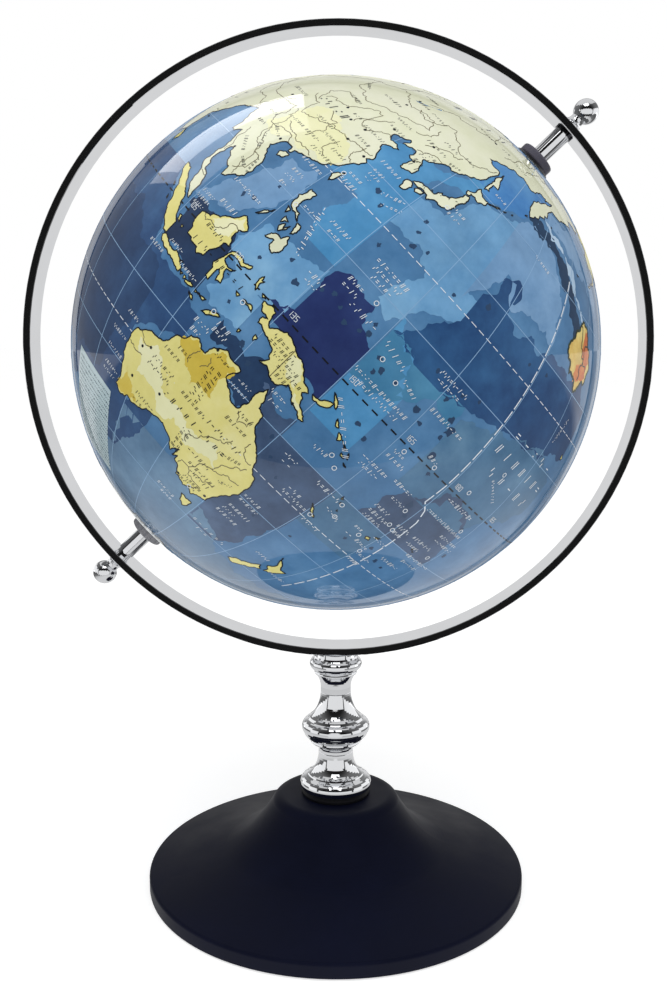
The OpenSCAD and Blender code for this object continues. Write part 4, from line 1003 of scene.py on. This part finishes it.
def plastic_material(name, colour, roughness, grain=1800, relief=0.25, shine=0.5):
    """Moulded plastic or paint with a fine skin."""
    made, nodes, links, shader, place = new_material(name)
    cloud = noise(nodes, links, place, 40, 4.0)
    shade = ramp(nodes, links, cloud, [(0.3, scaled(colour, 0.86)), (0.7, scaled(colour, 1.1))])
    links.new(shade, shader.inputs["Base Color"])
    fine = noise(nodes, links, place, grain, 3.0)
    gloss = spread(nodes, links, cloud, roughness - 0.05, roughness + 0.05)
    links.new(gloss, shader.inputs["Roughness"])
    shader.inputs["Specular IOR Level"].default_value = shine
    bump(nodes, links, fine, shader, relief, 0.03 * MM)
    return made


def felt_material():
    """Pressed felt: matted fibres, with a soft sheen."""
    made, nodes, links, shader, place = new_material("felt_fibres")
    mat = noise(nodes, links, place, 700, 8.0, 0.7)
    clump = noise(nodes, links, place, 90, 4.0)
    shade = ramp(nodes, links, mat,
                 [(0.3, (0.008, 0.008, 0.009)), (0.7, (0.05, 0.05, 0.055))])
    tuft = ramp(nodes, links, clump,
                [(0.3, (0.014, 0.014, 0.016)), (0.7, (0.035, 0.035, 0.04))])
    links.new(blend(nodes, links, clump, shade, tuft), shader.inputs["Base Color"])
    shader.inputs["Roughness"].default_value = 0.95
    shader.inputs["Sheen Weight"].default_value = 0.4
    shader.inputs["Sheen Roughness"].default_value = 0.5
    bump(nodes, links, mat, shader, 0.7, 0.3 * MM)
    return made


def chrome_material(name):
    """Bright chrome plate."""
    return metal_material(name, (0.83, 0.84, 0.86), 0.02, 0.05, 400, 0.006)


printed_parts = bpy.data.collections.new("printed_parts")  # what the window's light falls on
finishes = {
    "chrome": chrome_material("chrome_plate"),
    "fastener": metal_material("zinc_plate", (0.6, 0.61, 0.63), 0.25, 0.4, 900, 0.1, True),
    "steel_plate": metal_material("sheet_steel", (0.45, 0.45, 0.47), 0.35, 0.5, 900, 0.2, True),
    "dark_steel": metal_material("blackened_steel", (0.09, 0.09, 0.1), 0.3, 0.45, 900, 0.15),
    "navy_base": plastic_material("navy_paint", (0.004, 0.0055, 0.019), 0.5, 2500, 0.1, 0.14),
    "inner_plastic": plastic_material("inner_plastic", (0.6, 0.6, 0.57), 0.5),
    "cap_dark": plastic_material("cap_dark_plastic", (0.105, 0.098, 0.125), 0.36, 1500, 0.2),
    "cap_light": plastic_material("cap_light_plastic", (0.30, 0.30, 0.325), 0.34, 1500, 0.2),
    "felt": felt_material(),
    "globe_sea": print_material("print_sea", "467aaa", 0.22, "6898c4", 24),
    "globe_land": print_material("print_land", "ddcb7c", 0.12, "ece2a6", 22, 90),
}
foot_low, foot_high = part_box("stem_foot")
FOOT_SEAT = 2.7 * MM / (foot_high.z - foot_low.z)  # share of the foot that is its flange


def foot_material():
    """Chrome, with painted shade: near black where the foot's bottom flange sits on the base, standing in for the
    shadow there.
    """
    made = chrome_material("foot_plate_painted_shade")
    nodes, links = made.node_tree.nodes, made.node_tree.links
    split = nodes.new("ShaderNodeSeparateXYZ")
    links.new(nodes["Texture Coordinate"].outputs["Generated"], split.inputs[0])
    above = spread(nodes, links, split.outputs["Z"], 0, 1, FOOT_SEAT, FOOT_SEAT + 0.01)
    # painted shade: a near-black surface on the flange in place of the shadow where the foot meets the base
    painted_shade_flange = nodes.new("ShaderNodeBsdfPrincipled")
    painted_shade_flange.inputs["Base Color"].default_value = (0.006, 0.006, 0.008, 1)
    painted_shade_flange.inputs["Roughness"].default_value = 0.5
    painted_shade_flange.inputs["Specular IOR Level"].default_value = 0.1
    links.new(choose(nodes, links, above, painted_shade_flange.outputs[0], nodes["Principled BSDF"].outputs[0]),
              nodes["Material Output"].inputs["Surface"])
    return made


finishes["foot"] = foot_material()
slot_of = {row["node"]: row["material_slot"] for row in frame["record"]["subparts"]}
for name, node in frame["nodes"].items():
    slot_name = slot_of[name]
    finish = finishes[slot_name]
    if name in ("north_pole_plate", "south_pole_plate"):
        finish = finishes["steel_plate"]
    # the foot's chrome carries painted shade on its flange
    if name == "stem_foot":
        finish = finishes["foot"]
    if slot_name == "globe_sea":
        node.visible_glossy = False  # the chrome and the gloss mirror the room, not the ball
        printed_parts.objects.link(node)
    if not node.material_slots:
        node.data.materials.append(finish)
    for material_slot in node.material_slots:
        material_slot.material = finish

# ---------------------------------------------------------------------------
# The printed map
# ---------------------------------------------------------------------------
def build_skin():
    """The printed skin of the whole ball, open at the poles."""
    layer = Layer("map_sea_skin", SKIN_UP)
    columns, rows = 240, SKIN_LAT
    points = [(360 * c / columns - 180, -SKIN_LAT + 2 * SKIN_LAT * r / rows)
              for r in range(rows + 1) for c in range(columns)]
    faces = []
    for r in range(rows):
        for c in range(columns):
            d = (c + 1) % columns
            faces.append([r * columns + c, r * columns + d,
                          (r + 1) * columns + d, (r + 1) * columns + c])
    layer.add(points, faces)
    layer.build(finishes["globe_sea"])


def print_patches(name, up, patches, seed, step, wobble, finish):
    """Prints a layer of outlines, each roughened with a seed of its own."""
    layer = Layer(name, up)
    for number, patch in enumerate(patches):
        layer.area(rough(patch, f"{seed}{number}", step, wobble))
    layer.build(finish)


build_skin()

# Sea tones as base and highlight, printed one over the other in the order of SEA_TONES
TONES = {
    "sea_bright": ("3a7fc4", "5f9fd6"), "sea_mid": ("4790c6", "6caad6"),
    "sea_light": ("669fd0", "90c0e2"), "sea_pale": ("6f9cc9", "96bade"),
    "sea_violet": ("3c5478", "5f7ca2"), "sea_teal": ("44749c", "6a94b4"),
    "sea_navy": ("20477a", "386a9c"), "sea_deep": ("22316a", "33487e"),
    "sea_ink": ("203558", "305078"), "sea_indian": ("26497a", "406c9c"),
    "sea_indigo": ("22406a", "365a88"), "sea_south": ("587ea2", "7aa0c0"),
    "sea_arc": ("0e3458", "1e4c74"), "sea_frost": ("b0d0ee", "cce2f4"),
    "sea_azure": ("3d7eaa", "5a98bc"),
}
for order, (tone, patches) in enumerate(SEA_TONES.items()):
    shade, highlight = TONES[tone]
    print_patches("map_" + tone, TONE_UP + order * TONE_STEP, patches, tone, 0.9, 0.22,
                  print_material("print_" + tone, shade, 0.24, highlight, 24))

reef_ink = print_material("print_reef", "2f4a6c", 0.15)
layer = Layer("map_reef_smudges", GRID_UP)
rng = random.Random(11)
for lon, lat, radius in REEFS:
    lobes = rng.randrange(7, 12)
    blob = []
    for i in range(lobes):
        turn = 2 * math.pi * i / lobes
        reach = radius * rng.uniform(0.55, 1.25)
        blob.append((lon + reach * math.cos(turn), lat + reach * math.sin(turn)))
    layer.area(rough(blob, f"{lon}", 0.3, 0.2))
layer.build(reef_ink)

# Grid, tropics, polar circles, date line and equator
pale_ink = print_material("print_pale_line", "8db4da", 0.05)
white_ink = print_material("print_white", "e6eff8", 0.03)
dark_ink = print_material("print_dark", "1c2026", 0.08)
layer = Layer("map_grid", GRID_UP)
for lon in range(-180, 180, 15):
    layer.line(densify([(lon - 0.3, -75), (lon - 0.3, 75)], 1.5), 0.13)
for lat in (-75, -60, -45, -30, -15, 15, 30, 45, 60, 75):
    layer.line(densify([(-180, lat), (180, lat)], 1.5), 0.13)
layer.build(pale_ink)

layer = Layer("map_dashed_lines", GRID_UP + OVER_UP)
for lat in (-66.5, -23.5, 23.5, 66.5):
    layer.dashes([(-180, lat), (180, lat)], 0.14, 1.3, 0.6)
layer.dashes(rough(DATE_LINE, "date", 2.0, 0.0, closed=False), 0.24, 2.4, 0.5)
layer.build(white_ink)

layer = Layer("map_equator", GRID_UP + OVER_UP)
layer.dashes([(-180, -0.1), (180, -0.1)], 0.3, 1.4, 0.9)
layer.build(dark_ink)

# Land, in three tints, with its coastlines
land_cream = print_material("print_land_cream", "e6e9c8", 0.08, "eff0da", 20, 90)
land_gold = print_material("print_land_gold", "ebe286", 0.12, "f0ebac", 26, 110)
land_deep = print_material("print_land_deep", "dac048", 0.14, "e0cc60", 40, 120)
land_ice = print_material("print_ice", "e8ecec", 0.04)
outlines = {
    "cream": [rough(OLD_WORLD, "old", 0.55, 0.17)]
    + [rough(p, f"n{i}", 0.4, 0.16) for i, p in enumerate(ISLANDS_NORTH)],
    "gold": [rough(p, f"s{i}", 0.4, 0.14) for i, p in enumerate(ISLANDS_SOUTH)]
    + [rough(AMERICAS, "new", 0.9, 0.17)]
    + [rough(p, f"w{i}", 0.9, 0.16) for i, p in enumerate(ISLANDS_WEST)],
    "ice": [rough(ANTARCTICA, "ice", 1.4, 0.15)],
}
coast = Layer("map_coastlines", LINE_UP)
for tint, finish in (("cream", land_cream), ("gold", land_gold), ("ice", land_ice)):
    layer = Layer("map_land_" + tint, LAND_UP)
    for outline in outlines[tint]:
        layer.area(outline)
        coast.line(outline, 0.24, closed=True)
    layer.build(finish)
coast.build(dark_ink)

print_patches("map_land_warm", LAND_UP + OVER_LAND_UP, GOLD_PATCHES, "warm", 0.5, 0.25,
              land_deep)
print_patches("map_land_pale", LAND_UP + OVER_UP, CREAM_PATCHES, "pale", 0.6, 0.25,
              print_material("print_land_pale", "f0f0bc", 0.08, "f4f3cc", 30, 90))
print_patches("map_inland_water", LAND_UP + OVER_LAND_UP, INLAND_WATER, "lake", 0.5, 0.14,
              finishes["globe_sea"])

layer = Layer("map_rivers_and_borders", LINE_UP)
for number, path in enumerate(LAND_LINES):
    layer.line(rough(path, f"river{number}", 0.6, 0.22, closed=False), 0.15)
layer.build(print_material("print_brown_line", "6e6648", 0.1))

# Hatch rows in place of names, town rings and degree figures
rng = random.Random(5)
layer = Layer("map_sea_marks", MARK_UP)
for row in SEA_NAMES:
    name_row(layer, row, 0.11 * row[4], rng)
for row in SPACED_NAMES:
    name_row(layer, row, 0.085 * row[4], rng, marks=row[5])
for town in TOWNS:
    layer.ring(town, 0.42, 0.14)
for figure in range(105, 210, 15):
    shown = figure if figure <= 180 else 360 - figure
    degree_figure(layer, str(shown), figure + 0.4, 0.7)
layer.build(white_ink)

layer = Layer("map_land_marks", MARK_UP)
for row in LAND_NAMES:
    name_row(layer, row, 0.115 * row[4], rng)
for row in SPACED_LAND:
    name_row(layer, row, 0.13 * row[4], rng, marks=row[5])
for town in LAND_TOWNS:
    layer.ring(town, 0.16, 0.3, 8)
layer.build(dark_ink)

# Legend panel and ornament
layer = Layer("map_legend_panel", LAND_UP)
layer.area(densify(LEGEND + LEGEND[:1], 1.0)[:-1])
layer.build(print_material("print_legend", "bcd2d8", 0.05))
layer = Layer("map_legend_marks", MARK_UP)
row_lat = -38.4
while row_lat > -57:
    reach = 114.6 + (-37.2 - row_lat) * 0.2  # follows the panel's sloping right edge
    name_row(layer, (96, row_lat, reach, row_lat, 0.62), 0.11, rng)
    row_lat -= 1.0
layer.build(print_material("print_slate_line", "4a6672", 0.08))

outline = rough(ORNAMENT, "ornament", 0.5, 0.25)
layer = Layer("map_ornament", LAND_UP)
layer.area(outline)
layer.build(print_material("print_ornament", "e8c060", 0.2, "f2e08c", 90, 260))
layer = Layer("map_ornament_warm", LAND_UP + OVER_LAND_UP)
layer.area(rough(ORNAMENT_HOT, "hot", 0.5, 0.3))
layer.build(print_material("print_ornament_warm", "d8662c", 0.25, "eca050", 120, 300))
layer = Layer("map_ornament_edge", LINE_UP)
layer.line(outline, 0.5, closed=True)
layer.line(rough([(190, 43), (192.4, 39), (195, 37), (194.4, 33)], "vein", 0.5, 0.3, False), 0.3)
layer.line(rough([(196, 41.4), (194.4, 38.6), (197.6, 36)], "vein2", 0.5, 0.3, False), 0.25)
layer.build(print_material("print_dark_green", "24301e", 0.2, "3c5a34", 200, 400))

# ---------------------------------------------------------------------------
# Studio
# ---------------------------------------------------------------------------
ring_low, ring_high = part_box("meridian_ring")
RING_R = (ring_high.x - ring_low.x) / 2
CAMERA_PLACE = Vector((0.12, -3.6, 0.09))  # from the globe's centre, in ring radii
CAMERA_TILT = 80.91  # degrees up from looking straight down
CAMERA_PAN = 2.03
CAMERA_LENS = 39.93
scene = bpy.context.scene
scene.view_settings.view_transform = "Standard"

camera = bpy.data.objects.new("camera", bpy.data.cameras.new("camera"))
scene.collection.objects.link(camera)
camera.location = globe_centre + CAMERA_PLACE * RING_R
camera.rotation_euler = (math.radians(CAMERA_TILT), 0, math.radians(CAMERA_PAN))
camera.data.lens = CAMERA_LENS
camera.data.sensor_width = 36
camera.data.clip_start = 0.01
camera.data.clip_end = 50
scene.camera = camera


def floor_material():
    """A pale sweep, white to the camera. To glossy rays it shows a painted reflection instead: a glow that is
    bright near the stand, darker further out, and bright again well behind the object."""
    made, nodes, links, shader, place = new_material("pale_floor")
    tone = noise(nodes, links, place, 3, 3.0)
    links.new(ramp(nodes, links, tone, [(0.3, (0.62,) * 3), (0.7, (0.64,) * 3)]),
              shader.inputs["Base Color"])
    shader.inputs["Roughness"].default_value = 0.9
    shader.inputs["Specular IOR Level"].default_value = 0.0
    shader.inputs["Emission Color"].default_value = (1, 1, 1, 1)
    shader.inputs["Emission Strength"].default_value = 0.62
    # painted reflection: a glow that depends on distance from the stand and that only glossy rays see
    away = nodes.new("ShaderNodeVectorMath")
    away.operation = "LENGTH"
    links.new(place, away.inputs[0])
    painted_light_pool = ramp(nodes, links, away.outputs["Value"],
                [(0.25, (0.72,) * 3), (0.36, (0.6,) * 3), (0.48, (0.18,) * 3), (0.8, (0.12,) * 3)])
    split = nodes.new("ShaderNodeSeparateXYZ")
    links.new(place, split.inputs[0])
    behind = spread(nodes, links, split.outputs["Y"], 0, 1, 0.55, 0.75)
    painted_back_wall_glow = nodes.new("ShaderNodeRGB")
    painted_back_wall_glow.outputs[0].default_value = (0.75, 0.75, 0.75, 1)
    painted_reflection = nodes.new("ShaderNodeEmission")
    links.new(blend(nodes, links, behind, painted_light_pool, painted_back_wall_glow.outputs[0]), painted_reflection.inputs["Color"])
    rays = nodes.new("ShaderNodeLightPath")
    links.new(choose(nodes, links, rays.outputs["Is Glossy Ray"],
                     shader.outputs[0], painted_reflection.outputs[0]),
              nodes["Material Output"].inputs["Surface"])
    return made


FLOOR_HALF = 12
FLOOR_FRONT = -0.34  # the sweep ends below the camera, out of its view
floor_mesh = bpy.data.meshes.new("floor")
floor_mesh.from_pydata([(-FLOOR_HALF, FLOOR_FRONT, 0), (FLOOR_HALF, FLOOR_FRONT, 0),
                        (FLOOR_HALF, FLOOR_HALF, 0), (-FLOOR_HALF, FLOOR_HALF, 0)],
                       [], [(0, 1, 2, 3)])
floor_mesh.materials.append(floor_material())
floor = bpy.data.objects.new("floor", floor_mesh)
scene.collection.objects.link(floor)


def softbox(name, direction, distance, side, width, height, power):
    """A flat light aimed at the globe; `side` is the direction of its width."""
    data = bpy.data.lights.new(name, "AREA")
    data.shape = "RECTANGLE"
    data.size = width
    data.size_y = height
    data.energy = power
    lamp = bpy.data.objects.new(name, data)
    scene.collection.objects.link(lamp)
    back = Vector(direction).normalized()
    across = (Vector(side) - back * Vector(side).dot(back)).normalized()
    upward = back.cross(across)
    lamp.matrix_world = Matrix((across, upward, back)).transposed().to_4x4()
    lamp.location = globe_centre + back * distance
    lamp.visible_camera = False
    return lamp


window_side = (0.53, 0.115, 0.265)
window_light = softbox("window_light", (-0.43, 0.31, 0.845), 1.38, window_side, 0.9, 0.76, 2.9)
window_bright = softbox("window_bright", (-0.40, 0.45, 0.79), 1.36, window_side, 0.8, 0.3, 1.5)
for lamp in (window_light, window_bright):
    lamp.visible_diffuse = False
    lamp.light_linking.receiver_collection = printed_parts
top_light = softbox("top_light", (0.05, -0.45, 1.0), 1.6, (1, 0, 0), 1.4, 1.0, 13)
top_light.visible_glossy = False

# Pale panels and a window over the camera that only the turned metal mirrors
metal_parts = bpy.data.collections.new("metal_parts")
for name, node in frame["nodes"].items():
    if slot_of[name] == "chrome" and name != "meridian_ring":
        metal_parts.objects.link(node)
metal_panels = [
    softbox("metal_ceiling", (0.0, 0.25, 1.0), 1.75, (1, 0, 0), 3.0, 2.4, 12.5),
    softbox("metal_window", (0.0, -0.55, 0.83), 1.6, (1, 0, 0), 1.0, 0.7, 4.4),
    softbox("metal_front", (0.0, -1.0, -0.08), 1.7, (1, 0, 0), 4.6, 1.5, 18.5),
    softbox("metal_left", (-1.0, 0.2, -0.05), 1.9, (0, 1, 0), 3.4, 1.7, 15.5),
    softbox("metal_right", (1.0, 0.2, -0.05), 1.9, (0, 1, 0), 3.4, 1.7, 15.5),
]
for panel in metal_panels:
    panel.visible_diffuse = False
    panel.light_linking.receiver_collection = metal_parts


def studio_world():
    """White to the camera. In reflections a room that is bright at the back and
    darkens to the front. A soft even light for everything matt."""
    world = bpy.data.worlds.new("studio")
    world.use_nodes = True
    nodes, links = world.node_tree.nodes, world.node_tree.links
    nodes.clear()
    output = nodes.new("ShaderNodeOutputWorld")
    rays = nodes.new("ShaderNodeLightPath")
    place = nodes.new("ShaderNodeTexCoord")
    away = nodes.new("ShaderNodeVectorMath")
    away.operation = "DOT_PRODUCT"
    away.inputs[1].default_value = (0, -1, 0)
    links.new(place.outputs["Generated"], away.inputs[0])
    back_to_front = [(0.0, 0.76), (0.035, 0.74), (0.065, 0.45), (0.105, 0.24), (0.2, 0.18),
                     (0.5, 0.16), (0.62, 0.11), (0.75, 0.05), (0.86, 0.012), (1.0, 0.01)]
    room = ramp(nodes, links, spread(nodes, links, away.outputs["Value"], 0, 1, -1, 1),
                [(position, (value,) * 3) for position, value in back_to_front])
    reflected = nodes.new("ShaderNodeBackground")
    links.new(room, reflected.inputs["Color"])
    soft = nodes.new("ShaderNodeBackground")
    soft.inputs["Strength"].default_value = 0.6
    plain = nodes.new("ShaderNodeBackground")
    plain.inputs["Strength"].default_value = 1.0
    for white in (soft, plain):
        white.inputs["Color"].default_value = (1, 1, 1, 1)
    unseen = choose(nodes, links, rays.outputs["Is Glossy Ray"],
                    soft.outputs[0], reflected.outputs[0])
    links.new(choose(nodes, links, rays.outputs["Is Camera Ray"], unseen, plain.outputs[0]),
              output.inputs["Surface"])
    scene.world = world


studio_world()
